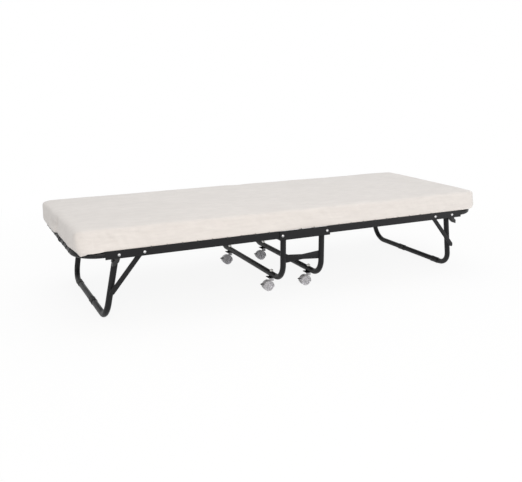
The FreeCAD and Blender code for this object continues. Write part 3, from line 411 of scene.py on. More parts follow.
@dataclass(frozen=True)
class WovenBlack(Finish):
    """Woven black tape yarn: over-and-under cells with a satin face to each yarn."""

    cell: float = 2.6 * MM
    fray: float = 900.0
    worn: float = 2.6
    satin: float = 0.42
    relief: float = 0.4 * MM

    def paint(self, tree: ShaderTree) -> bpy.types.Material:
        """Build the weave in a tree.

        Args:
            tree: The material's empty tree.

        Returns:
            The weave's material.
        """
        place = tree.node("ShaderNodeSeparateXYZ", inputs={0: tree.coordinates()})
        weave = tree.wave(place[0], self.cell) * tree.wave(place[1], self.cell) * 0.5 + 0.5
        fray = tree.noise(self.fray)
        colour = tree.mix(tree.remap(weave + fray * 0.3, 0.35, 1.1), self.colour, self.shade(self.worn))
        return tree.surface(Base_Color=colour, Roughness=self.satin + (1.0 - weave) * 0.3,
                            Sheen_Weight=0.15, Normal=tree.bump(weave + fray * 0.2, self.relief))


@dataclass(frozen=True)
class KnitCover(Finish):
    """Cream knitted mattress cover: fine loops, a soft nap, and painted shade of its wrinkles as faint
    darker clouds and streaks.
    """

    loops: float = 1.5 * MM
    nap: float = 1400.0
    # clouds and streaks are painted shade: colour darkened where the cover's wrinkles would be shaded
    clouds: float = 7.0
    slubs: float = 260.0
    streaks: float = 34.0
    roughness: float = 0.93
    relief: float = 0.3 * MM

    def paint(self, tree: ShaderTree) -> bpy.types.Material:
        """Build the knit in a tree.

        Args:
            tree: The material's empty tree.

        Returns:
            The knit's material.
        """
        place = tree.node("ShaderNodeSeparateXYZ", inputs={0: tree.coordinates()})
        rows = [tree.wave(place[axis], self.loops) for axis in range(3)]
        loop = (rows[0] * rows[1] + rows[1] * rows[2] + rows[2] * rows[0]) * 0.25 + 0.5
        nap = tree.noise(self.nap, 3.0, 0.6)
        # painted shade: soft clouds darken the cover's colour like the shading of large wrinkles
        painted_cloud_shade = tree.noise(self.clouds, 4.0, 0.55, (1.0, 1.6, 2.4))
        slub = tree.noise(self.slubs, 2.0, stretch=(0.12, 1.0, 1.0))
        # painted shade: streaks darken the colour like the shading of the side's fine wrinkles
        streak = tree.noise(self.streaks, 4.0, 0.6, (0.5, 1.0, 2.6))
        shaded = tree.mix(tree.remap(painted_cloud_shade, 0.3, 0.72), self.colour, self.shade(0.93))
        shaded = tree.mix(tree.remap(streak, 0.42, 0.7) * 0.5, shaded, self.shade(0.86))
        colour = tree.mix(tree.remap(nap + slub * 0.5, 0.45, 1.05) * 0.24, shaded, self.shade(0.78))
        height = loop * 0.5 + nap * 0.8 + slub * 0.4
        return tree.surface(Base_Color=colour, Roughness=self.roughness, Sheen_Weight=0.25,
                            Sheen_Roughness=0.6, Specular_IOR_Level=0.2,
                            Normal=tree.bump(height, self.relief, 0.7))


FRAME_COAT = PowderCoat("black_frame", (0.0105, 0.0105, 0.0118))
PLATE_COAT = PowderCoat("black_steel", (0.011, 0.011, 0.0125), roughness=0.46)
ZINC = PlatedSteel("zinc_steel", (0.66, 0.65, 0.62))
RIVET = PlatedSteel("rivet_steel", (0.66, 0.66, 0.67), roughness=0.28)
WIRE = PlatedSteel("spring_wire", (0.10, 0.10, 0.105), roughness=0.34)
DECK_CLOTH = WovenBlack("deck_fabric", (0.012, 0.012, 0.013))
COVER = KnitCover("mattress_cover", (0.755, 0.719, 0.690))
CLEAR = ClearPlastic("caster_clear", (0.90, 0.90, 0.94))
CLEAR_HOOD = ClearPlastic("caster_hood", (0.76, 0.76, 0.79), roughness=0.26, transmission=0.25)
BRAKE_GREY = MouldedBlack("brake_plastic", (0.15, 0.15, 0.155), roughness=0.42)
PLASTIC = MouldedBlack("black_plastic", (0.008, 0.008, 0.0085), roughness=0.5)
RUBBER = MouldedBlack("black_rubber", (0.006, 0.006, 0.0062), roughness=0.6, grain=2200.0)
FINISHES = {finish.slot: finish for finish in (
    FRAME_COAT, PLATE_COAT, ZINC, RIVET, WIRE, DECK_CLOTH, COVER, CLEAR, CLEAR_HOOD, BRAKE_GREY,
    PLASTIC, RUBBER)}


# ---------------------------------------------------------------- geometry trees and meshes


class GeometryTree(NodeTree):
    """A Geometry Nodes tree that sets a copy of one shape on each seed."""

    def __init__(self, name: str) -> None:
        """Start a tree that takes seeds and a finish, and puts one geometry out.

        Args:
            name: The tree's name.
        """
        super().__init__(bpy.data.node_groups.new(name, "GeometryNodeTree"))
        self.tree.interface.new_socket("Geometry", in_out="OUTPUT", socket_type="NodeSocketGeometry")
        self.inputs = self.tree.nodes.new("NodeGroupInput")
        self.names: dict[str, str] = {}
        self.seeds = self.ask("Seeds", "Geometry")
        self.material = self.ask("Finish", "Material")

    def ask(self, name: str, kind: str) -> bpy.types.NodeSocket:
        """Add a named input to the tree.

        Args:
            name: The input's name.
            kind: Its kind, such as Float.

        Returns:
            Its socket inside the tree.
        """
        item = self.tree.interface.new_socket(name, in_out="INPUT", socket_type=f"NodeSocket{kind}")
        self.names[name] = item.identifier
        return next(out for out in self.inputs.outputs if out.identifier == item.identifier)

    def node(self, kind: str, settings: dict[str, Any] | None = None,
             inputs: dict[str | int, Any] | None = None) -> bpy.types.NodeSocket:
        """Add a node, as add does, and return its first output."""
        return self.add(kind, settings, inputs).outputs[0]

    def round_bar(self, line: bpy.types.NodeSocket, radius: bpy.types.NodeSocket, sides: int,
                  capped: bool = False) -> bpy.types.NodeSocket:
        """Return a round bar of a radius along a line."""
        rim = self.node("GeometryNodeCurvePrimitiveCircle", inputs={"Resolution": sides, "Radius": radius})
        return self.node("GeometryNodeCurveToMesh", inputs={
            "Curve": line, "Profile Curve": rim, "Fill Caps": capped})

    def aim(self) -> bpy.types.NodeSocket:
        """Return the direction that each seed carries."""
        return self.node("GeometryNodeInputNamedAttribute", {"data_type": "FLOAT_VECTOR"},
                         {"Name": "aim"})

    def along_aim(self, sideways: Point | None = None) -> bpy.types.NodeSocket:
        """Turn each copy so that its Z lies along its seed's aim.

        Args:
            sideways: The direction that its X leans towards, if that matters.

        Returns:
            The turn.
        """
        if sideways is None:
            return self.node("FunctionNodeAlignRotationToVector", {"axis": "Z"},
                             {"Vector": self.aim()})
        return self.node("FunctionNodeAxesToRotation", {"primary_axis": "Z", "secondary_axis": "X"},
                         {0: self.aim(), 1: sideways})

    def scatter(self, shape: bpy.types.NodeSocket, **inputs: Any) -> "GeometryTree":
        """End the tree with a copy of a shape on each seed.

        Args:
            shape: The shape.
            **inputs: The turn and the size of each copy, as Rotation and Scale.

        Returns:
            The tree.
        """
        placed = self.node("GeometryNodeInstanceOnPoints", inputs={
            "Points": self.seeds, "Instance": shape, **inputs})
        real = self.node("GeometryNodeRealizeInstances", inputs={0: placed})
        dressed = self.node("GeometryNodeSetMaterial", inputs={0: real, 2: self.material})
        self.add("NodeGroupOutput", inputs={0: dressed})
        return self

    def grow(self, name: str, seeds: bpy.types.Mesh, finish: "Finish", **values: Any) -> bpy.types.Object:
        """Run the tree on seeds and keep the result as a plain mesh.

        Args:
            name: The new piece's name.
            seeds: The seeds, as seeds_mesh makes them.
            finish: The new piece's finish.
            **values: The tree's other inputs, with underscores for the spaces in their names.

        Returns:
            The new piece, with no modifier.
        """
        holder = bpy.data.objects.new(f"{name}_seed", seeds)
        bpy.context.scene.collection.objects.link(holder)
        modifier = holder.modifiers.new("tree", "NODES")
        modifier.node_group = self.tree
        modifier[self.names["Finish"]] = finish.material()
        for key, given in values.items():
            modifier[self.names[key.replace("_", " ")]] = given
        holder.update_tag()
        graph = bpy.context.evaluated_depsgraph_get()
        mesh = bpy.data.meshes.new_from_object(holder.evaluated_get(graph))
        bpy.data.objects.remove(holder)
        mesh.name = name
        return link(name, mesh)


def link(name: str, mesh: bpy.types.Mesh) -> bpy.types.Object:
    """Put a mesh in the scene.

    Args:
        name: The new object's name.
        mesh: The mesh.

    Returns:
        The object.
    """
    piece = bpy.data.objects.new(name, mesh)
    bpy.context.scene.collection.objects.link(piece)
    return piece


def mesh_from(name: str, shape: bmesh.types.BMesh) -> bpy.types.Mesh:
    """Turn a bmesh into a mesh, and free it.

    Args:
        name: The mesh's name.
        shape: The bmesh.

    Returns:
        The mesh.
    """
    mesh = bpy.data.meshes.new(name)
    shape.to_mesh(mesh)
    shape.free()
    return mesh


def bridge(shape: bmesh.types.BMesh, ring: Sequence[bmesh.types.BMVert],
           following: Sequence[bmesh.types.BMVert]) -> None:
    """Join two closed rings of as many points by faces.

    Args:
        shape: The shape that holds them.
        ring: The first ring.
        following: The second ring.
    """
    for i in range(len(ring)):
        j = (i + 1) % len(ring)
        shape.faces.new((ring[i], ring[j], following[j], following[i]))


def smooth(piece: bpy.types.Object, degrees: float = 40.0) -> bpy.types.Object:
    """Shade a piece smoothly, apart from edges sharper than an angle.

    Args:
        piece: The piece.
        degrees: The angle between faces above which their edge stays sharp.

    Returns:
        The same piece.
    """
    piece.data.shade_smooth()
    piece.data.set_sharp_from_angle(angle=math.radians(degrees))
    return piece


def piece_from(name: str, shape: bmesh.types.BMesh, finish: Finish,
               degrees: float = 40.0) -> bpy.types.Object:
    """Turn a bmesh into a piece with outward faces and a finish.

    Args:
        name: The piece's name.
        shape: The shape, freed here.
        finish: The piece's finish.
        degrees: The angle above which an edge stays sharp.

    Returns:
        The piece.
    """
    bmesh.ops.remove_doubles(shape, verts=shape.verts, dist=1e-6)
    bmesh.ops.recalc_face_normals(shape, faces=shape.faces)
    mesh = mesh_from(name, shape)
    mesh.materials.append(finish.material())
    return smooth(link(name, mesh), degrees)


def apply_modifiers(piece: bpy.types.Object) -> bpy.types.Object:
    """Replace a piece's mesh by what its modifiers make of it, and remove them.

    Args:
        piece: The piece.

    Returns:
        The same piece.
    """
    graph = bpy.context.evaluated_depsgraph_get()
    mesh = bpy.data.meshes.new_from_object(piece.evaluated_get(graph))
    piece.modifiers.clear()
    piece.data = mesh
    return piece


def bevelled(piece: bpy.types.Object, width: float, segments: int = 2) -> bpy.types.Object:
    """Round a piece's sharp edges.

    Args:
        piece: The piece.
        width: How wide the rounding is.
        segments: How many faces it has across.

    Returns:
        The same piece.
    """
    modifier = piece.modifiers.new("bevel", "BEVEL")
    modifier.width = width
    modifier.segments = segments
    modifier.limit_method = "ANGLE"
    modifier.harden_normals = False
    return smooth(apply_modifiers(piece), 50.0)


def fit(piece: bpy.types.Object, body: str, finish: Finish, *nodes: str) -> bpy.types.Object:
    """Hand a finished piece to the frame.

    Args:
        piece: The piece, in place.
        body: The body that it moves with.
        finish: Not used.
        *nodes: The frame's solids that it stands for.

    Returns:
        The same piece.
    """
    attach(piece, body)
    if nodes:
        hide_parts(*nodes)
    log.info("%s rides on %s: %d faces", piece.name, body, len(piece.data.polygons))
    return piece


@dataclass(frozen=True)
class Bend:
    """The stretch over the stand where cloth and foam bend as the halves fold; here its pieces are only
    baked in place.
    """

    outer: float = 160.0 * MM
    inner: float = 20.0 * MM
    height: float = 300.0 * MM

    def fit(self, piece: bpy.types.Object, end: End, finish: Finish, *nodes: str) -> bpy.types.Object:
        """Bake a piece's place into its mesh and hide the frame's solids that it stands for.

        Args:
            piece: The piece, in place.
            end: The end of the cot that it reaches.
            finish: Not used.
            *nodes: The frame's solids that it stands for.

        Returns:
            The same piece.
        """
        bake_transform(piece)
        if nodes:
            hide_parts(*nodes)
        log.info("%s bends between deck_%s and the stand: %d faces", piece.name, end.word,
                 len(piece.data.polygons))
        return piece


BEND = Bend()


def solids_of(node: str) -> list[tuple[Vector, Vector]]:
    """Find the separate solids of a frame node.

    Args:
        node: The node.

    Returns:
        The lowest and the highest corner of each, in order of the lowest.
    """
    shape = bmesh.new()
    shape.from_mesh(frame["nodes"][node].data)
    bmesh.ops.remove_doubles(shape, verts=shape.verts, dist=WELD_GAP / 2)
    left = set(shape.verts)
    boxes = []
    while left:
        front = [left.pop()]
        found = list(front)
        while front:
            near = {edge.other_vert(front[-1]) for edge in front[-1].link_edges} & left
            front.pop()
            left -= near
            front.extend(near)
            found.extend(near)
        places = [vertex.co for vertex in found]
        low = Vector(min(place[axis] for place in places) for axis in range(3))
        high = Vector(max(place[axis] for place in places) for axis in range(3))
        boxes.append((low, high))
    shape.free()
    return sorted(boxes, key=lambda box: tuple(box[0]))


def lathe(profile: Sequence[Pair], steps: int) -> bmesh.types.BMesh:
    """Turn a closed outline about the local Y axis.

    Args:
        profile: Points of the outline, each a radius and a place along Y.
        steps: How many steps a full turn takes.

    Returns:
        The turned shape.
    """
    shape = bmesh.new()
    rings = []
    for step in range(steps):
        angle = 2 * math.pi * step / steps
        rings.append([shape.verts.new((radius * math.cos(angle), y, radius * math.sin(angle)))
                      for radius, y in profile])
    for ring, following in zip(rings, rings[1:] + rings[:1]):
        bridge(shape, ring, following)
    return shape


def add_to(shape: bmesh.types.BMesh, other: bmesh.types.BMesh,
           place: Matrix = Matrix.Identity(4)) -> None:
    """Add another shape, put in place, to a shape, and free it.

    Args:
        shape: The shape that grows.
        other: The shape to add.
        place: Where it goes.
    """
    bmesh.ops.transform(other, matrix=place, verts=other.verts)
    mesh = mesh_from("part", other)
    shape.from_mesh(mesh)
    bpy.data.meshes.remove(mesh)


def wire(places: Sequence[Point], radius: float, sides: int = 6) -> bmesh.types.BMesh:
    """Return a closed round bar through places.

    Args:
        places: The points that its middle follows.
        radius: The bar's radius.
        sides: How many sides it has.

    Returns:
        The bar.
    """
    shape = bmesh.new()
    points = [Vector(place) for place in places]
    across = (points[1] - points[0]).orthogonal().normalized()
    rings = []
    for index, point in enumerate(points):
        along = points[min(index + 1, len(points) - 1)] - points[max(index - 1, 0)]
        along.normalize()
        across = (across - along * across.dot(along)).normalized()
        side = along.cross(across)
        turns = [2 * math.pi * step / sides for step in range(sides)]
        rings.append([shape.verts.new(point + (across * math.cos(turn) + side * math.sin(turn)) * radius)
                      for turn in turns])
    for ring, following in zip(rings, rings[1:]):
        bridge(shape, ring, following)
    shape.faces.new(list(reversed(rings[0])))
    shape.faces.new(rings[-1])
    return shape


def seeds_mesh(places: Sequence[Point], aims: Sequence[Point]) -> bpy.types.Mesh:
    """Make seeds for a geometry tree.

    Args:
        places: Where they are.
        aims: The direction that what grows on each one takes.

    Returns:
        The seeds as loose points, with their directions as the attribute aim.
    """
    mesh = bpy.data.meshes.new("seeds")
    mesh.from_pydata([tuple(place) for place in places], [], [])
    aim = mesh.attributes.new("aim", "FLOAT_VECTOR", "POINT")
    for item, given in zip(aim.data, aims):
        item.vector = given
    return mesh


def merged(name: str, pieces: Sequence[bpy.types.Object]) -> bpy.types.Object:
    """Join pieces of one finish into a new one and remove them.

    Args:
        name: The new piece's name.
        pieces: The pieces, all at the origin.

    Returns:
        The new piece.
    """
    shape = bmesh.new()
    finish = pieces[0].data.materials[0]
    for piece in pieces:
        shape.from_mesh(piece.data)
        bpy.data.objects.remove(piece)
    mesh = mesh_from(name, shape)
    mesh.materials.clear()
    mesh.materials.append(finish)
    return smooth(link(name, mesh), 50.0)


def rise(value: float, low: float, high: float) -> float:
    """Return a smooth step from 0 at low to 1 at high."""
    share = min(1.0, max(0.0, (value - low) / (high - low)))
    return share * share * (3 - 2 * share)


def fall(value: float, low: float, high: float) -> float:
    """Return a smooth step from 1 at low to 0 at high."""
    return 1.0 - rise(value, low, high)


def between(ends: Pair, share: float) -> float:
    """Return what lies a share of the way from the first of two values to the second."""
    return ends[0] + (ends[1] - ends[0]) * share


def hump(value: float, middle: float, width: float) -> float:
    """Return a smooth hump of height 1 about a middle."""
    return math.exp(-((value - middle) / width) ** 2)


@dataclass(frozen=True)
class Ripple:
    """A layer of smooth random folds: its depth, its folds per metre along X, Y and Z, and its lean."""

    depth: float
    pace: Point
    lean: Point = (0.0, 0.0, 0.0)
    start: Point = (0.0, 0.0, 0.0)

    def at(self, place: Vector) -> float:
        """Return how far it lifts a place; the lean mixes Z into X and Y, and X into Z."""
        mixed = (place.z, place.z, place.x)
        return self.depth * noise.noise(Vector(
            [place[axis] * self.pace[axis] + mixed[axis] * self.lean[axis] + self.start[axis]
             for axis in range(3)]))


# ---------------------------------------------------------------- the frame's own solids


@dataclass
class Frame:
    """The tubes, rails, rivets and plates, which keep their own shape and get their finish."""

    edge: float = 0.7 * MM
    flat: float = 2.0
    softened: tuple[str, ...] = ("link_plate", "leg_stops", "strap_clip", "caster_plate", "brake_lever",
                                 "caster_hood", "brace_")

    def dress(self) -> None:
        """Give every node of the frame its finish."""
        for part in frame["record"]["subparts"]:
            shown = frame["nodes"][part["node"]]
            for place in shown.material_slots:
                place.material = FINISHES[part["material_slot"]].material()

    def soften(self) -> None:
        """Replace the sharp-edged nodes by copies with rounded edges."""
        riders = {node: body for body, nodes in frame["record"]["behaviour"]["bodies"].items()
                  for node in nodes}
        for part in frame["record"]["subparts"]:
            if part["node"].startswith(self.softened):
                self.soften_one(part["node"], riders[part["node"]], FINISHES[part["material_slot"]])

    def soften_one(self, node: str, body: str, finish: Finish) -> None:
        """Replace one node by a copy with rounded edges.

        Args:
            node: The node.
            body: The body that it belongs to.
            finish: Its finish.
        """
        shape = bmesh.new()
        shape.from_mesh(frame["nodes"][node].data)
        bmesh.ops.remove_doubles(shape, verts=shape.verts, dist=WELD_GAP)
        bmesh.ops.dissolve_limit(shape, angle_limit=math.radians(self.flat), verts=shape.verts,
                                 edges=shape.edges)
        piece = piece_from(f"{node}_rounded", shape, finish)
        fit(bevelled(piece, self.edge), body, finish, node)


@dataclass
class Weld:
    """Rippled weld beads where two members of the frame meet."""

    bead: float = 1.9 * MM
    step: float = 2.1 * MM
    proud: float = 0.4 * MM
    short: float = 2.0 * MM
    inset: float = 0.8 * MM
    tube: float = 12.5 * MM
    cross_tube: float = 9.5 * MM
    uneven: Pair = (0.86, 1.12)
    arc: Pair = (30.0, 150.0)

    def tree(self) -> GeometryTree:
        """Build the tree that lays a drop on each seed, each a little larger or smaller.

        Returns:
            The tree.
        """
        tree = GeometryTree("weld_bead")
        drop = tree.node("GeometryNodeMeshIcoSphere", inputs={
            "Radius": tree.ask("Bead", "Float"), "Subdivisions": 2})
        jitter = tree.add("FunctionNodeRandomValue", {"data_type": "FLOAT"},
                          {"Min": self.uneven[0], "Max": self.uneven[1], "Seed": 4})
        return tree.scatter(drop, Rotation=tree.along_aim(), Scale=jitter.outputs[1])

    def ring(self, middle: Point, radius: float, axis: int, arc: Pair) -> list[Point]:
        """Return places along an arc about an axis through a point.

        Args:
            middle: The arc's middle.
            radius: Its radius.
            axis: The axis it turns about, 0 for X to 2 for Z.
            arc: Its first and last angle in degrees.

        Returns:
            The places, a step apart.
        """
        first, last = (math.radians(angle) for angle in arc)
        count = max(2, round(abs(last - first) * radius / self.step))
        others = [number for number in range(3) if number != axis]
        places = []
        for index in range(count + 1):
            angle = first + (last - first) * index / count
            place = list(middle)
            place[others[0]] += radius * math.cos(angle)
            place[others[1]] += radius * math.sin(angle)
            places.append(tuple(place))
        return places

    def run(self, start: Point, end: Point) -> list[Point]:
        """Return places along a straight line, a step apart."""
        count = max(2, round((Vector(end) - Vector(start)).length / self.step))
        return [tuple(Vector(start).lerp(Vector(end), index / count)) for index in range(count + 1)]

    def lay(self, name: str, body: str, places: list[Point]) -> None:
        """Lay beads and hand them to a body.

        Args:
            name: The name of their piece.
            body: The body that they move with.
            places: Where they are.
        """
        seeds = seeds_mesh(places, [(0.0, 0.0, 1.0)] * len(places))
        piece = self.tree().grow(name, seeds, FRAME_COAT, Bead=self.bead)
        fit(smooth(piece, 60.0), body, FRAME_COAT)

    def stand_places(self) -> list[Point]:
        """Find where the stand's tubes are welded to its link plates and centre rails.

        Returns:
            The places of the beads.
        """
        places: list[Point] = []
        for row in Row:
            low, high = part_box(f"link_plate_{row.word}")
            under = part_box(f"centre_rail_{row.word}")[0].z
            for end in End:
                tube_low, tube_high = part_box(f"stand_tube_{end.word}")
                x = (tube_low.x + tube_high.x) / 2
                y = (low.y + high.y) / 2
                inner = x - end.value * (self.tube + self.proud)
                for side in (-1, 1):
                    across = y + side * (high.y - low.y) / 2
                    places += self.run((inner, across, low.z + self.short),
                                       (inner, across, high.z - self.short))
                arc = tuple(sorted(-row.value * angle for angle in self.arc))
                places += self.ring((x, y, under), self.tube, 2, arc)
        return places

    def deck_places(self, end: End) -> list[Point]:
        """Find where a deck half's cross tube is welded to its rails.

        Args:
            end: The end of the cot that the half reaches.

        Returns:
            The places of the beads.
        """
        low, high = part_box(f"cross_tube_{end.word}")
        x, z = (low.x + high.x) / 2, (low.z + high.z) / 2
        places: list[Point] = []
        for y in (low.y + self.inset, high.y - self.inset):
            places += self.ring((x, y, z), self.cross_tube, 1, (0.0, 360.0))
        return places

    def build(self) -> None:
        """Lay every bead."""
        self.lay("stand_welds", "stand", self.stand_places())
        for end in End:
            self.lay(f"deck_welds_{end.word}", f"deck_{end.word}", self.deck_places(end))


# ---------------------------------------------------------------- casters and feet


@dataclass
class Wheels:
    """The two ribbed wheels of a caster on their axle."""

    tread: float = 4.6 * MM
    hub: float = 6.2 * MM
    axle: float = 2.95 * MM
    gap: float = 6.0 * MM
    web: float = 1.6 * MM
    ribs: int = 8
    first_rib: float = 0.3
    rib: float = 1.5 * MM
    rib_inset: float = 0.6 * MM
    rib_sunk: float = 0.6 * MM
    soft: float = 1.3 * MM
    sunk: float = 0.2 * MM
    chamfer: float = 0.8 * MM
    axle_chamfer: float = 0.5 * MM
    steps: int = 48
    axle_steps: int = 20

    def tree(self) -> GeometryTree:
        """Build the tree that sets a flat rib on each seed.

        Returns:
            The tree.
        """
        tree = GeometryTree("wheel_rib")
        rib = tree.node("GeometryNodeMeshCube", inputs={"Size": tree.ask("Size", "Vector")})
        return tree.scatter(rib, Rotation=tree.along_aim((0.0, 1.0, 0.0)))

    def discs(self, radius: float, outer: float) -> bmesh.types.BMesh:
        """Return both wheels without their ribs, and the axle.

        Args:
            radius: The wheels' radius.
            outer: The outer face of a wheel from the caster's middle.

        Returns:
            The shape, about the axle.
        """
        shape = bmesh.new()
        inner, bore = self.gap, radius - self.tread
        middle = (inner + outer) / 2
        soft, sunk, chamfer = self.soft, self.sunk, self.chamfer
        outlines = [
            [(bore, inner), (radius - soft, inner), (radius - 0.3 * soft, inner + 0.4 * soft),
             (radius, inner + soft), (radius, outer - soft), (radius - 0.3 * soft, outer - 0.4 * soft),
             (radius - soft, outer), (bore, outer)],
            [(self.hub - sunk, middle - self.web), (bore + sunk, middle - self.web),
             (bore + sunk, middle + sunk), (self.hub - sunk, middle + sunk)],
            [(self.axle + sunk, inner), (self.hub, inner), (self.hub, outer - chamfer),
             (self.hub - chamfer, outer), (self.axle + sunk, outer)]]
        for outline in outlines:
            for side in (-1, 1):
                add_to(shape, lathe([(r, side * y) for r, y in outline], self.steps))
        tip = self.axle_chamfer
        add_to(shape, lathe([(0.0, -outer), (self.axle - tip, -outer), (self.axle, tip - outer),
                             (self.axle, outer - tip), (self.axle - tip, outer), (0.0, outer)],
                            self.axle_steps))
        return shape

    def build(self) -> None:
        """Make the wheels of all four casters."""
        for row in Row:
            for end in End:
                self.one(f"{row.word}_{end.word}")

    def one(self, words: str) -> None:
        """Make the wheels of one caster.

        Args:
            words: Which caster it is, such as front_left.
        """
        low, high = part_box(f"caster_wheels_{words}")
        middle = (low + high) / 2
        radius, outer = (high.z - low.z) / 2, (high.y - low.y) / 2
        bore = radius - self.tread
        web = (self.gap + outer) / 2
        depth = outer - web - self.rib_inset
        places, aims = [], []
        for side in (-1, 1):
            for step in range(self.ribs):
                turn = 2 * math.pi * (step + self.first_rib) / self.ribs
                aim = Vector((math.cos(turn), 0.0, math.sin(turn)))
                across = Vector((0.0, side * (web + depth / 2), 0.0))
                places.append(tuple(middle + aim * (self.hub + bore) / 2 + across))
                aims.append(tuple(aim))
        ribs = self.tree().grow(f"ribs_{words}", seeds_mesh(places, aims), CLEAR,
                                Size=(depth, self.rib, bore - self.hub + self.rib_sunk))
        shape = self.discs(radius, outer)
        bmesh.ops.translate(shape, verts=shape.verts, vec=middle)
        discs = piece_from(f"discs_{words}", shape, CLEAR)
        fit(merged(f"ribbed_wheels_{words}", [discs, ribs]), f"wheels_{words}", CLEAR,
            f"caster_wheels_{words}")


@dataclass
class FootSleeves:
    """The rubber sleeves on the foot bars, each with a lip at both ends and grooves between."""

    bore: float = 12.5 * MM
    lip: float = 3.5 * MM
    soft: float = 0.5 * MM
    waist: float = 0.5 * MM
    depth: float = 1.2 * MM
    grooves: int = 7
    groove_share: float = 0.3
    groove_slope: float = 0.3
    steps: int = 40

    def outline(self, radius: float, half: float) -> list[Pair]:
        """Return a sleeve's outline.

        Args:
            radius: The radius of its lips.
            half: Half its length.

        Returns:
            Its places, each a radius and a place along the bar.
        """
        soft, floor = self.soft, radius - self.depth
        places = [(self.bore, -half), (radius - soft, -half), (radius, -half + soft),
                  (radius, -half + self.lip), (radius - self.waist, -half + self.lip + soft)]
        span = 2 * (half - self.lip - 2 * soft)
        for groove in range(self.grooves):
            width = self.groove_share * span / self.grooves
            start = -span / 2 + span * (groove + (1.0 - self.groove_share) / 2) / self.grooves
            slope = self.groove_slope * width
            places += [(radius - self.waist, start), (floor, start + slope),
                       (floor, start + width - slope), (radius - self.waist, start + width)]
        places += [(radius - self.waist, half - self.lip - soft), (radius, half - self.lip),
                   (radius, half - soft), (radius - soft, half), (self.bore, half)]
        return places

    def build(self) -> None:
        """Make the sleeves of both legs."""
        for end in End:
            shape = bmesh.new()
            for low, high in solids_of(f"foot_sleeves_{end.word}"):
                middle = (low + high) / 2
                sleeve = lathe(self.outline((high.z - low.z) / 2, (high.y - low.y) / 2), self.steps)
                add_to(shape, sleeve, Matrix.Translation(middle))
            fit(piece_from(f"grooved_sleeves_{end.word}", shape, RUBBER), f"leg_{end.word}", RUBBER,
                f"foot_sleeves_{end.word}")


# ---------------------------------------------------------------- springs


@dataclass(frozen=True)
class SpringPlace:
    """Where one spring runs, from the hem outwards along X or Y."""

    hem: Vector
    aim: Vector
    length: float
    height: float

    @property
    def at_end(self) -> bool:
        """Whether it pulls on the hem of the panel's end."""
        return self.aim.x != 0.0


def springs_of(node: str) -> list[SpringPlace]:
    """Find the springs of a frame node.

    Args:
        node: The node.

    Returns:
        Where each one runs.
    """
    places = []
    for low, high in solids_of(node):
        hem, size = (low + high) / 2, high - low
        axis = 0 if size.x > size.y else 1
        aim = Vector((0.0, 0.0, 0.0))
        aim[axis] = math.copysign(1.0, hem[axis])
        hem[axis] = low[axis] if aim[axis] > 0 else high[axis]
        hem.z = low.z
        places.append(SpringPlace(hem, aim, size[axis], size.z))
    return places


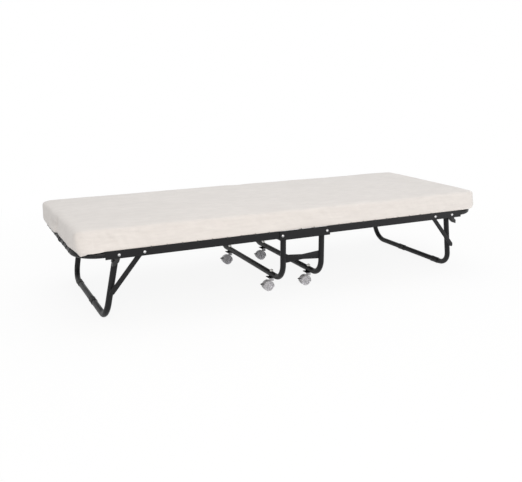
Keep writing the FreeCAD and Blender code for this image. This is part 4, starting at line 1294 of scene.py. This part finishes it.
@dataclass
class Springs:
    """The coil springs between the deck fabric and the frame, each with its two wire hooks."""

    coil: float = 2.5 * MM
    thickness: float = 0.75 * MM
    length: float = 32.0 * MM
    turns: float = 14.0
    hook: float = 1.25 * MM
    hook_rise: float = 6.2 * MM
    hook_span: float = 8.5 * MM
    tube: float = 12.5 * MM
    tube_drop: float = 10.0 * MM
    tube_gap: float = 9.5 * MM
    wrap: float = 1.05
    bends: int = 14
    seat: float = 3.5 * MM
    arm_height: float = 8.0 * MM

    def tree(self) -> GeometryTree:
        """Build the tree that winds a coil and puts it and its hooks on each seed.

        Returns:
            The tree.
        """
        tree = GeometryTree("deck_spring")
        coil = tree.ask("Coil", "Float")
        line = tree.node("GeometryNodeCurveSpiral", inputs={
            "Resolution": 8, "Rotations": tree.ask("Turns", "Float"), "Start Radius": coil,
            "End Radius": coil, "Height": tree.ask("Length", "Float")})
        wound = tree.round_bar(line, tree.ask("Thickness", "Float"), 5, capped=True)
        hooked = tree.add("GeometryNodeObjectInfo", inputs={"Object": tree.ask("Hooks", "Object")})
        whole = tree.node("GeometryNodeJoinGeometry", inputs={0: [wound, hooked.outputs["Geometry"]]})
        return tree.scatter(whole, Rotation=tree.along_aim((0.0, 0.0, 1.0)))

    def hem_end(self) -> list[Point]:
        """Return the wire from the coil's start through the hem, with X up and Z outwards."""
        return [(self.coil, 0, 0), (2.4 * MM, 0, -1.5 * MM), (2.0 * MM, 0, -4 * MM),
                (4.2 * MM, 0, -5.5 * MM), (5.6 * MM, 0, -7.5 * MM), (4.6 * MM, 0, -9.6 * MM),
                (1.8 * MM, 0, -9.4 * MM), (0.6 * MM, 0, -7.4 * MM)]

    def coil_exit(self) -> list[Point]:
        """Return the wire from the coil's outer end to its middle line."""
        return [(self.coil, 0, self.length), (2.0 * MM, 0, self.length + 1.5 * MM),
                (0, 0, self.length + 3 * MM)]

    def rail_hook(self, reach: float) -> list[Point]:
        """Return the wire up through the flange, over the rail and down its outside.

        Args:
            reach: How far the hook's outside is from the hem.

        Returns:
            The wire's places.
        """
        outer = reach - self.hook
        inner = outer - self.hook_span
        top = self.hook_rise
        return self.coil_exit() + [
            (0, 0, inner - 2 * MM), (0.6 * MM, 0, inner - 0.6 * MM), (2 * MM, 0, inner),
            (top - 1.6 * MM, 0, inner), (top - 0.4 * MM, 0, inner + 0.5 * MM), (top, 0, inner + 1.8 * MM),
            (top, 0, outer - 1.6 * MM), (top - 0.5 * MM, 0, outer - 0.4 * MM),
            (top - 2 * MM, 0, outer), (-0.4 * MM, 0, outer)]

    def tube_hook(self, reach: float) -> list[Point]:
        """Return the wire out to a tube and over its top.

        Args:
            reach: How far the spring reaches from the hem, which is short of the tube's middle.

        Returns:
            The wire's places.
        """
        radius = self.tube + self.hook
        middle = reach + self.tube_gap
        start = math.asin(self.tube_drop / radius)
        sweep = math.pi * self.wrap - start
        angles = [math.pi - start - sweep * step / self.bends for step in range(self.bends + 1)]
        return self.coil_exit() + [(radius * math.sin(angle) - self.tube_drop, 0,
                                    middle + radius * math.cos(angle)) for angle in angles]

    def arm_end(self, reach: float) -> list[Point]:
        """Return the wire out into a hole in the side of an arm of the end tube."""
        return self.coil_exit() + [(0, 0, self.length + 6 * MM), (0, 0, reach + 1.5 * MM)]

    def grow(self, name: str, springs: Sequence[SpringPlace], outer: Sequence[Point]) -> bpy.types.Object:
        """Grow springs of one kind.

        Args:
            name: The piece's name.
            springs: Where they run.
            outer: The wire beyond its coil.

        Returns:
            The springs as one piece.
        """
        shape = wire(self.hem_end(), self.hook)
        add_to(shape, wire(outer, self.hook))
        hooks = piece_from(f"{name}_hooks", shape, WIRE)
        places = [spring.hem + Vector((0.0, 0.0, self.seat)) for spring in springs]
        aims = [spring.aim for spring in springs]
        piece = self.tree().grow(name, seeds_mesh(places, aims), WIRE, Coil=self.coil,
                                 Thickness=self.thickness, Length=self.length, Turns=self.turns,
                                 Hooks=hooks)
        bpy.data.objects.remove(hooks)
        return piece

    def kind(self, spring: SpringPlace) -> str:
        """Tell what a spring hooks on.

        Args:
            spring: Where the spring runs.

        Returns:
            The end tube, a rail or an arm of the end tube, as tube, rail or arm.
        """
        if spring.at_end:
            return "tube"
        return "rail" if spring.height > self.arm_height else "arm"

    def build(self) -> None:
        """Make the springs of both halves and of the middle."""
        for word, body in (("left", "deck_left"), ("right", "deck_right"), ("centre", "stand")):
            node = f"deck_springs_{word}"
            pieces = []
            for kind, hook in (("rail", self.rail_hook), ("arm", self.arm_end), ("tube", self.tube_hook)):
                springs = [spring for spring in springs_of(node) if self.kind(spring) == kind]
                if springs:
                    pieces.append(self.grow(f"{node}_{kind}", springs, hook(springs[0].length)))
            fit(merged(f"{node}_coils", pieces), body, WIRE, node)


# ---------------------------------------------------------------- deck fabric


@dataclass
class DeckFabric:
    """The woven panel between the springs, in two lengths that meet over the stand."""

    wall: float = 1.3 * MM
    hem_width: float = 24.0 * MM
    hem_wall: float = 1.1 * MM
    pitch: float = 63.0 * MM
    scallop: float = 3.5 * MM
    rim_power: int = 12
    cell: float = 7.0 * MM
    below: float = 0.25 * MM
    ripple: Ripple = Ripple(0.25 * MM, (9.0, 9.0, 0.0), start=(0.0, 0.0, 1.7))
    eyelet: float = 3.2 * MM
    eyelet_roll: float = 0.55 * MM
    eyelet_inset: float = 7.5 * MM
    eyelet_sunk: float = 0.2 * MM
    seams: Pair = (6.0 * MM, 10.0 * MM)
    stitch: float = 1.7 * MM
    thread: float = 0.3
    stitch_pitch: float = 6.0 * MM
    stitch_sunk: float = 0.1 * MM

    def outline(self, end: End) -> tuple[float, float, float]:
        """Return the panel's outer end, its half width and its top."""
        low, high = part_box(f"deck_fabric_{end.word}")
        return max(abs(low.x), abs(high.x)), high.y, high.z

    def springs(self, end: End) -> list[SpringPlace]:
        """Return where the springs run that pull on one length's hem."""
        return [spring for word in (end.word, "centre") for spring in springs_of(f"deck_springs_{word}")
                if spring.hem.x * end.value > -1e-6]

    def pull(self, place: float, springs: Sequence[float]) -> float:
        """Return how far the hem draws back at a place, which is most between two springs."""
        distance = min(abs(place - spring) for spring in springs)
        return self.scallop * math.sin(min(1.0, 2 * distance / self.pitch) * math.pi / 2) ** 2

    def sheet(self, end: End) -> bpy.types.Object:
        """Weave one length: a flat panel whose hem draws back between its springs.

        Args:
            end: The end of the cot that it reaches.

        Returns:
            The panel.
        """
        reach, half, top = self.outline(end)
        sides = [spring.hem.x for spring in self.springs(end) if spring.aim.y > 0]
        ends = [spring.hem.y for spring in self.springs(end) if spring.at_end]
        along = max(2, round(reach / self.cell))
        across = max(2, round(2 * half / self.cell))
        shape = bmesh.new()
        layers = []
        for layer in (0, 1):
            rows = []
            for i in range(along + 1):
                x = end.value * reach * i / along
                side = self.pull(x, sides)
                row = []
                for j in range(across + 1):
                    y = half * (2 * j / across - 1)
                    last = self.pull(y, ends)
                    place_x = x - end.value * last * (i / along) ** self.rim_power
                    place_y = y * (1 - side / half * abs(y / half) ** self.rim_power)
                    hem = max(self.hem(half - abs(y)), self.hem(reach - abs(x)))
                    drop = self.below + layer * (self.wall + hem * self.hem_wall)
                    height = top - drop + self.ripple.at(Vector((x, y, 0.0)))
                    row.append(shape.verts.new((place_x, place_y, height)))
                rows.append(row)
            layers.append(rows)
        for rows in layers:
            for first, second in zip(rows, rows[1:]):
                for j in range(across):
                    shape.faces.new((first[j], second[j], second[j + 1], first[j + 1]))
        self.close(shape, layers)
        return piece_from(f"deck_panel_{end.word}", shape, DECK_CLOTH, 60.0)

    def hem(self, inset: float) -> float:
        """Return 1 inside the hem's width and 0 beyond it, at a distance from the panel's edge."""
        return 1.0 if inset < self.hem_width - self.cell / 2 else 0.0

    @staticmethod
    def close(shape: bmesh.types.BMesh, layers: list[list[list[bmesh.types.BMVert]]]) -> None:
        """Join the rims of a panel's two layers.

        Args:
            shape: The shape that holds them.
            layers: The points of the upper and the lower layer, row by row.
        """
        top, bottom = layers
        rims = [([row[0] for row in top], [row[0] for row in bottom]),
                ([row[-1] for row in top], [row[-1] for row in bottom]),
                (top[0], bottom[0]), (top[-1], bottom[-1])]
        for upper, lower in rims:
            for i in range(len(upper) - 1):
                shape.faces.new((upper[i], upper[i + 1], lower[i + 1], lower[i]))

    def eyelet_tree(self) -> GeometryTree:
        """Build the tree that puts a rolled ring on each seed.

        Returns:
            The tree.
        """
        tree = GeometryTree("hem_eyelet")
        loop = tree.node("GeometryNodeCurvePrimitiveCircle", inputs={
            "Resolution": 16, "Radius": tree.ask("Radius", "Float")})
        return tree.scatter(tree.round_bar(loop, tree.ask("Roll", "Float"), 6))

    def stitch_tree(self) -> GeometryTree:
        """Build the tree that lays a short thread along the aim of each seed.

        Returns:
            The tree.
        """
        tree = GeometryTree("hem_stitch")
        drop = tree.node("GeometryNodeMeshIcoSphere", inputs={
            "Radius": tree.ask("Half Length", "Float"), "Subdivisions": 1})
        thread = tree.node("GeometryNodeTransform", inputs={
            "Geometry": drop, "Scale": (self.thread, self.thread, 1.0)})
        return tree.scatter(thread, Rotation=tree.along_aim())

    def eyelets(self, end: End) -> bpy.types.Object:
        """Set a rolled eyelet in the hem at each spring.

        Args:
            end: The end of the cot that the panel reaches.

        Returns:
            The eyelets as one piece.
        """
        _, _, top = self.outline(end)
        places = []
        for spring in self.springs(end):
            x, y, _ = spring.hem - spring.aim * self.eyelet_inset
            places += [(x, y, top - self.eyelet_sunk), (x, y, top - self.wall - self.hem_wall)]
        return self.eyelet_tree().grow(
            f"deck_eyelets_{end.word}", seeds_mesh(places, [(0.0, 0.0, 1.0)] * len(places)), WIRE,
            Radius=self.eyelet, Roll=self.eyelet_roll)

    def stitches(self, end: End) -> bpy.types.Object:
        """Sew the hem down with a double row of stitches.

        Args:
            end: The end of the cot that the panel reaches.

        Returns:
            The stitches as one piece.
        """
        reach, half, top = self.outline(end)
        pitch = self.stitch_pitch
        places: list[Point] = []
        aims: list[Point] = []
        faces = (top - self.stitch_sunk, top - self.below - self.wall - self.hem_wall)
        for seam in self.seams:
            inset = self.hem_width - seam
            for i in range(int((reach - inset) / pitch)):
                x = end.value * (i + 0.5) * pitch
                for side in (-1, 1):
                    for z in faces:
                        places.append((x, side * (half - inset), z))
                        aims.append((1.0, 0.0, 0.0))
            for j in range(int(2 * (half - inset) / pitch)):
                y = -(half - inset) + (j + 0.5) * pitch
                for z in faces:
                    places.append((end.value * (reach - inset), y, z))
                    aims.append((0.0, 1.0, 0.0))
        return self.stitch_tree().grow(f"deck_stitches_{end.word}", seeds_mesh(places, aims), DECK_CLOTH,
                                       Half_Length=self.stitch)

    def build(self) -> None:
        """Make both lengths with their stitches and eyelets."""
        for end in End:
            panel = self.sheet(end)
            rings = self.eyelets(end)
            thread = self.stitches(end)
            BEND.fit(panel, end, DECK_CLOTH, f"deck_fabric_{end.word}", "deck_fabric_centre")
            BEND.fit(rings, end, WIRE)
            BEND.fit(thread, end, DECK_CLOTH)
            reach, half, _ = self.outline(end)
            2 * half


# ---------------------------------------------------------------- mattress


@dataclass(frozen=True)
class LooseEnd:
    """How the cover hangs over the left end: it swells, and has a fold, a pouch and a tucked corner.

    A band is where something starts and where it is complete, and a spot is a middle and a width. Those
    with height in their name are shares of the mattress's height, and the others are places.
    """

    swell: Pair = (0.0, 13.0 * MM)
    swell_band: Pair = (-0.30, 0.32)
    upright: Pair = (0.6, 1.0)
    upright_height: Pair = (0.2, 0.9)
    pouch: float = 9.0 * MM
    pouch_spot: Pair = (0.075, 0.060)
    roll_heights: tuple[Pair, Pair] = ((0.08, 0.20), (0.42, 0.12))
    fold: float = 13.0 * MM
    fold_spot: Pair = (-0.006, 0.018)
    fold_height: Pair = (0.45, 0.95)
    far: float = 5.0 * MM
    far_band: Pair = (0.09, 0.17)
    far_height: Pair = (0.02, 0.15)
    drop: float = 1.0 * MM
    pouch_drop: float = 1.5 * MM
    far_drop: float = 13.0 * MM
    drop_band: Pair = (0.955, 0.968)
    drop_height: Pair = (0.0, 0.55)
    tuck: float = -1.5 * MM
    corner_tuck: float = 16.0 * MM
    corner_band: Pair = (-0.36, -0.25)
    tuck_end: Pair = (0.02, 0.12)
    tuck_reach: Pair = (0.86, 0.955)
    tuck_height: Pair = (0.0, 0.8)
    tip: Pair = (-0.954, -0.352)
    tip_stretch: float = 1.4
    tip_drops: tuple[Pair, Pair] = ((8.0 * MM, 0.10), (14.0 * MM, 0.03))
    tip_height: Pair = (0.0, 0.45)

    def swollen(self, y: float, height: float) -> float:
        """Return how far the end stands out at a place along it and a height from 0 to 1."""
        upright = between(self.upright, rise(height, *self.upright_height))
        return upright * between(self.swell, rise(y, *self.swell_band))

    def hung(self, place: Vector, height: float, along: float) -> Vector:
        """Return where a point lies once the cover hangs there.

        Args:
            place: The point.
            height: Its height up the side, from 0 to 1.
            along: How far it belongs to the end, from 0 to 1.

        Returns:
            Its new place.
        """
        moved = place.copy()
        pouch = hump(place.y, *self.pouch_spot)
        fold = hump(place.y, *self.fold_spot) * fall(height, *self.fold_height)
        low, high = self.roll_heights
        roll = hump(height, *low) - hump(height, *high)
        moved.x -= along * (self.pouch * pouch * roll - self.fold * fold)
        far = rise(place.y, *self.far_band)
        moved.x -= self.far * far * along * fall(height, *self.far_height)
        foot = fall(height, *self.drop_height) * rise(-moved.x, *self.drop_band)
        moved.z -= foot * (self.drop + self.pouch_drop * pouch + self.far_drop * far)
        inwards = self.tuck + self.corner_tuck * fall(place.y, *self.corner_band)
        inwards *= fall(height, *self.tuck_height) * fall(place.y, *self.tuck_end)
        moved.x += rise(-place.x, *self.tuck_reach) * inwards
        away = math.hypot(place.x - self.tip[0], self.tip_stretch * (place.y - self.tip[1]))
        drop = sum(depth * max(0.0, 1.0 - away / width) for depth, width in self.tip_drops)
        moved.z -= drop * fall(height, *self.tip_height)
        return moved


@dataclass
class Mattress:
    """The foam mattress in its loose knitted cover, in two lengths that meet over the stand."""

    corners: Pair = (20.0 * MM, 42.0 * MM)
    rim: float = 9.0 * MM
    foot_rim: float = 3.5 * MM
    inset: float = 4.0 * MM
    lift: float = 0.5 * MM
    belly: float = 9.0 * MM
    belly_height: Pair = (0.12, 0.42)
    margin: float = 16.0 * MM
    lip: float = 2.2 * MM
    square: float = 4.5 * MM
    rail_end: Pair = (0.90, 0.95)
    rail_height: Pair = (0.03, 0.30)
    square_height: Pair = (0.03, 0.22)
    right_foot: float = 7.0 * MM
    right_band: Pair = (0.90, 0.94)
    right_height: Pair = (0.03, 0.28)
    loose: LooseEnd = LooseEnd()
    lumps: tuple[Ripple, ...] = (Ripple(1.5 * MM, (3.1, 4.3, 5.0)), Ripple(0.45 * MM, (21.0, 24.0, 26.0)))
    side_waves: tuple[Ripple, ...] = (Ripple(4.2 * MM, (4.2, 3.0, 62.0), lean=(0.0, 0.0, 9.0)),
                                      Ripple(2.2 * MM, (15.0, 6.0, 70.0), lean=(34.0, 0.0, 0.0)))
    slack: Pair = (0.35, 1.0)
    slack_band: Pair = (-0.25, 0.55)
    gathers: Ripple = Ripple(1.6 * MM, (40.0, 8.0, 22.0), lean=(26.0, 0.0, 0.0))
    plain_gather: float = 0.7
    gather_spots: tuple[Point, ...] = ((2.6, -0.85, 0.15), (1.0, 0.0, 0.10))
    end_waves: Ripple = Ripple(1.2 * MM, (6.0, 26.0, 14.0), lean=(0.0, 20.0, 0.0))
    top_waves: Ripple = Ripple(1.3 * MM, (7.0, 9.0, 0.0), start=(0.0, 0.0, 4.4))
    crease: float = 2.0 * MM
    crease_width: float = 35.0 * MM
    rest: float = 0.3 * MM
    voxel: float = 12.0 * MM
    swell: float = 4.5 * MM
    pressure: float = 4.0
    ease: float = 0.025
    stretch: float = 12.0
    stiffness: float = 0.4
    steps: int = 20
    tube: float = 12.5 * MM
    bend: float = 100.0 * MM
    low: Vector = field(default_factory=lambda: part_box("mattress_left")[0])
    high: Vector = field(default_factory=lambda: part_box("mattress_right")[1])
    end_tube: Vector = field(default_factory=lambda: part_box("end_tube_right")[1])
    rail: Vector = field(default_factory=lambda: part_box("deck_rail_rear_right")[1])

    def ring(self, inset: float, z: float) -> list[Point]:
        """Return a level outline of the foam.

        Args:
            inset: How far it is inside the foam's widest outline.
            z: Its height.

        Returns:
            Its places, round the four corners.
        """
        length = self.high.x - self.inset - inset
        width = self.high.y - self.inset - inset
        places = []
        for quarter, (sx, sy) in enumerate(((1, 1), (-1, 1), (-1, -1), (1, -1))):
            radius = self.corners[sx > 0] - inset * 0.6
            for step in range(9):
                angle = (quarter + step / 8) * math.pi / 2
                places.append((sx * (length - radius) + radius * math.cos(angle),
                               sy * (width - radius) + radius * math.sin(angle), z))
        return places

    def foam(self) -> bpy.types.Object:
        """Cut the foam block and round its edges.

        Returns:
            The block, with an even mesh for the cover to settle on.
        """
        bottom, top = self.low.z + self.lift, self.high.z - self.inset / 2
        turns = [math.pi / 2 * step / 4 for step in range(5)]
        levels = [(self.foot_rim * (1 - math.sin(turn)), bottom + self.foot_rim * (1 - math.cos(turn)))
                  for turn in turns]
        levels += [(self.rim * (1 - math.cos(turn)), top - self.rim * (1 - math.sin(turn)))
                   for turn in turns]
        shape = bmesh.new()
        rings = [[shape.verts.new(place) for place in self.ring(inset, z)] for inset, z in levels]
        for lower, upper in zip(rings, rings[1:]):
            bridge(shape, lower, upper)
        shape.faces.new(list(reversed(rings[0])))
        shape.faces.new(rings[-1])
        piece = piece_from("mattress_foam", shape, COVER)
        modifier = piece.modifiers.new("even", "REMESH")
        modifier.mode = "VOXEL"
        modifier.voxel_size = self.voxel
        return apply_modifiers(piece)

    def settle(self, piece: bpy.types.Object) -> None:
        """Let the cover swell and buckle over the foam as cloth, and never sink into it.

        Args:
            piece: The foam, whose mesh is moved in place.
        """
        cloth = piece.modifiers.new("cover", "CLOTH")
        rules = {"quality": 5, "mass": 0.3, "tension_stiffness": self.stretch,
                 "compression_stiffness": self.stretch, "shear_stiffness": self.stretch / 2,
                 "bending_stiffness": self.stiffness, "shrink_min": -self.ease, "use_pressure": True,
                 "uniform_pressure_force": self.pressure}
        for key, rule in rules.items():
            setattr(cloth.settings, key, rule)
        cloth.settings.effector_weights.gravity = 0.0
        cloth.point_cache.frame_end = self.steps
        scene = bpy.context.scene
        for step in range(1, self.steps + 1):
            scene.frame_set(step)
        moved = piece.evaluated_get(bpy.context.evaluated_depsgraph_get()).to_mesh()
        places = [vertex.co.copy() for vertex in moved.vertices]
        faces = [vertex.normal.copy() for vertex in piece.data.vertices]
        piece.modifiers.clear()
        scene.frame_set(1)
        for vertex, place, face in zip(piece.data.vertices, places, faces):
            step = place - vertex.co
            step += face * max(-step.dot(face), 0.0)
            if step.length > self.swell:
                step *= self.swell / step.length
            vertex.co += step

    def shaped(self, place: Vector, face: Vector) -> Vector:
        """Return where a point of the cover ends up once its folds and its sag are in.

        Args:
            place: The point.
            face: Which way the cover faces there.

        Returns:
            Its new place.
        """
        height = (place.z - self.low.z) / (self.high.z - self.low.z)
        side, end = abs(face.y) ** 2, abs(face.x) ** 2
        lump = sum(ripple.at(place) for ripple in self.lumps)
        slack = between(self.slack, rise(-place.x, *self.slack_band))
        gather = self.plain_gather + sum(depth * hump(place.x, middle, width)
                                         for depth, middle, width in self.gather_spots)
        waves = side * slack * sum(ripple.at(place) for ripple in self.side_waves)
        waves += side * gather * self.gathers.at(place) + end * self.end_waves.at(place)
        along, across = self.side_share(place)
        outwards = Vector((math.copysign(along, place.x), math.copysign(across, place.y), 0.0))
        moved = place + face * (lump + waves) + outwards * self.belly * hump(height, *self.belly_height)
        moved.z += rise(height, 0.7, 1.0) * self.top_waves.at(place)
        moved.z -= self.crease * rise(face.z, 0.5, 1.0) * hump(place.x, 0.0, self.crease_width)
        if place.x < 0.0:
            moved.x -= along * self.loose.swollen(place.y, height)
            moved = self.loose.hung(moved, height, along)
        else:
            corner = max(along, across * rise(place.x, *self.right_band))
            moved.x += self.right_foot * corner * fall(height, *self.right_height)
        edge = self.rail.y - self.lip
        railed = across * fall(abs(place.x), *self.rail_end)
        hold = railed * fall(height, *self.rail_height)
        moved.y += hold * (math.copysign(edge, place.y) - moved.y)
        moved.z -= self.square * max(railed, along) * fall(height, *self.square_height)
        return moved

    def side_share(self, place: Vector) -> tuple[float, float]:
        """Tell how far a point belongs to the mattress's sides.

        Args:
            place: The point.

        Returns:
            Its share of the ends and its share of the long sides, from 0 to 1.
        """
        length = self.high.x - self.inset
        width = self.high.y - self.inset
        along = rise(abs(place.x), length - self.margin, length - self.margin / 4)
        across = rise(abs(place.y), width - self.margin, width - self.margin / 4)
        return along, across

    def floor(self, place: Vector) -> float:
        """Find what the cover rests on at a place, the deck or the end tube.

        Args:
            place: The place.

        Returns:
            The lowest that the cover may lie there.
        """
        deck = self.low.z + self.rest
        if abs(place.x) < self.rail.x:
            return deck if abs(place.y) < self.rail.y + self.rest else -1.0
        middle = Vector((self.end_tube.x - self.tube - self.bend, self.end_tube.y - self.tube - self.bend))
        out = Vector((abs(place.x), abs(place.y))) - middle
        beyond = Vector((max(out.x, 0.0), max(out.y, 0.0))).length + min(max(out.x, out.y), 0.0) - self.bend
        if beyond < 0.0:
            return deck
        if beyond > self.tube:
            return -1.0
        axis = self.end_tube.z - self.tube
        return axis + math.sqrt(self.tube ** 2 - beyond ** 2) + 2 * self.rest

    def shape_cover(self, piece: bpy.types.Object) -> bpy.types.Object:
        """Add the fine folds and flatten what rests on the deck.

        Args:
            piece: The settled mattress.

        Returns:
            The same piece.
        """
        modifier = piece.modifiers.new("fine", "SUBSURF")
        modifier.levels = 1
        modifier.render_levels = 1
        piece = apply_modifiers(piece)
        faces = [vertex.normal.copy() for vertex in piece.data.vertices]
        for vertex, face in zip(piece.data.vertices, faces):
            place = self.shaped(vertex.co, face)
            place.z = max(place.z, self.floor(place))
            vertex.co = place
        return piece

    def half(self, whole: bpy.types.Object, end: End) -> bpy.types.Object:
        """Cut one length out of the whole mattress.

        Args:
            whole: The whole mattress.
            end: The end that the length reaches.

        Returns:
            The length, closed at the cut.
        """
        shape = bmesh.new()
        shape.from_mesh(whole.data)
        everything = list(shape.verts) + list(shape.edges) + list(shape.faces)
        cut = bmesh.ops.bisect_plane(shape, geom=everything, plane_co=(0.0, 0.0, 0.0),
                                     plane_no=(end.value, 0.0, 0.0), clear_inner=True)
        rim = [item for item in cut["geom_cut"] if isinstance(item, bmesh.types.BMEdge)]
        bmesh.ops.holes_fill(shape, edges=rim, sides=0)
        return piece_from(f"mattress_pad_{end.word}", shape, COVER, 55.0)

    def build(self) -> None:
        """Make the mattress and hand over its two lengths."""
        whole = self.foam()
        self.settle(whole)
        whole = self.shape_cover(whole)
        for end in End:
            pad = self.half(whole, end)
            BEND.fit(pad, end, COVER, f"mattress_{end.word}", "mattress_centre")
        bpy.data.objects.remove(whole)


# ---------------------------------------------------------------- studio


@dataclass(frozen=True)
class Lamp:
    """A square soft lamp: its name, place, aim, side, power in watts and colour."""

    name: str
    place: Point
    aim: Point
    side: float
    power: float
    colour: Colour

    def hang(self) -> None:
        """Put the lamp in the scene."""
        data = bpy.data.lights.new(self.name, "AREA")
        data.shape = "SQUARE"
        data.size = self.side
        data.energy = self.power
        data.color = self.colour
        lamp = bpy.data.objects.new(self.name, data)
        lamp.location = self.place
        lamp.rotation_euler = (Vector(self.aim) - Vector(self.place)).to_track_quat("-Z", "Y").to_euler()
        bpy.context.scene.collection.objects.link(lamp)


@dataclass
class Studio:
    """The camera, the soft lamps and the pale surroundings."""

    eye: Point = (-1.382, -2.829, 0.971)
    turn: Point = (76.07, 0.0, -25.91)
    roll: float = -0.137
    lens: float = 46.93
    shift: Pair = (-0.00933, -0.01157)
    sky: float = 0.62
    floor: Colour = (0.93, 0.93, 0.93)
    glow: float = 0.9
    fade: Pair = (0.9, 2.3)
    reach: float = 14.0
    lamps: tuple[Lamp, ...] = (
        Lamp("front_lamp", (-1.2, -3.6, 2.2), (0.0, 0.0, 0.3), 2.4, 62.0, (1.0, 0.93, 0.86)),
        Lamp("top_lamp", (0.4, 0.6, 3.2), (0.0, 0.0, 0.3), 3.0, 30.0, (0.94, 0.97, 1.0)),
        Lamp("right_lamp", (3.2, -2.9, 0.6), (0.3, 0.0, 0.3), 1.5, 31.0, (1.0, 1.0, 1.0)))

    def camera(self) -> None:
        """Set up the camera."""
        data = bpy.data.cameras.new("camera")
        data.lens = self.lens
        data.sensor_width = 36.0
        data.sensor_fit = "HORIZONTAL"
        data.shift_x, data.shift_y = self.shift
        data.clip_end = 60.0
        eye = bpy.data.objects.new("camera", data)
        eye.location = self.eye
        turn = Euler([math.radians(angle) for angle in self.turn]).to_matrix()
        eye.rotation_euler = (turn @ Matrix.Rotation(math.radians(self.roll), 3, "Z")).to_euler()
        bpy.context.scene.collection.objects.link(eye)
        bpy.context.scene.camera = eye

    def world(self) -> None:
        """Light everything evenly, and show white behind it."""
        world = bpy.data.worlds.new("studio")
        tree = ShaderTree(world)
        strength = tree.remap(tree.seen(), 0.0, 1.0, self.sky, 1.0)
        tree.end("World", tree.node("ShaderNodeBackground", inputs={
            "Color": (1.0, 1.0, 1.0), "Strength": strength}))
        bpy.context.scene.world = world

    def ground(self) -> None:
        """Lay the pale floor, which shows nearly white but keeps a soft shadow."""
        tree = ShaderTree(bpy.data.materials.new("studio_floor"))
        far = tree.node("ShaderNodeVectorMath", {"operation": "LENGTH"}, {0: tree.coordinates()})["Value"]
        share = tree.seen() * tree.remap(far, *self.fade, self.glow, 1.0)
        paper = tree.node("ShaderNodeBsdfDiffuse", inputs={"Color": self.floor})
        glow = tree.node("ShaderNodeEmission", inputs={"Color": (1.0, 1.0, 1.0), "Strength": 1.0})
        tree.end("Material", tree.node("ShaderNodeMixShader", inputs={0: share, 1: paper, 2: glow}))
        shape = bmesh.new()
        bmesh.ops.create_grid(shape, x_segments=2, y_segments=2, size=self.reach)
        mesh = mesh_from("studio_floor", shape)
        mesh.materials.append(tree.holder)
        link("studio_floor", mesh)

    def build(self) -> None:
        """Set up everything round the cot."""
        self.camera()
        self.world()
        self.ground()
        for lamp in self.lamps:
            lamp.hang()
        bpy.context.scene.view_settings.view_transform = "Standard"
        log.info("studio is set up")


def main() -> None:
    """Set up the studio, dress the frame and build each sub-assembly in order."""
    logging.basicConfig(level=logging.INFO, format="%(message)s")
    bpy.context.view_layer.update()
    Studio().build()
    base = Frame()
    base.dress()
    base.soften()
    Weld().build()
    Wheels().build()
    FootSleeves().build()
    Springs().build()
    DeckFabric().build()
    Mattress().build()


if __name__ == "__main__":
    main()
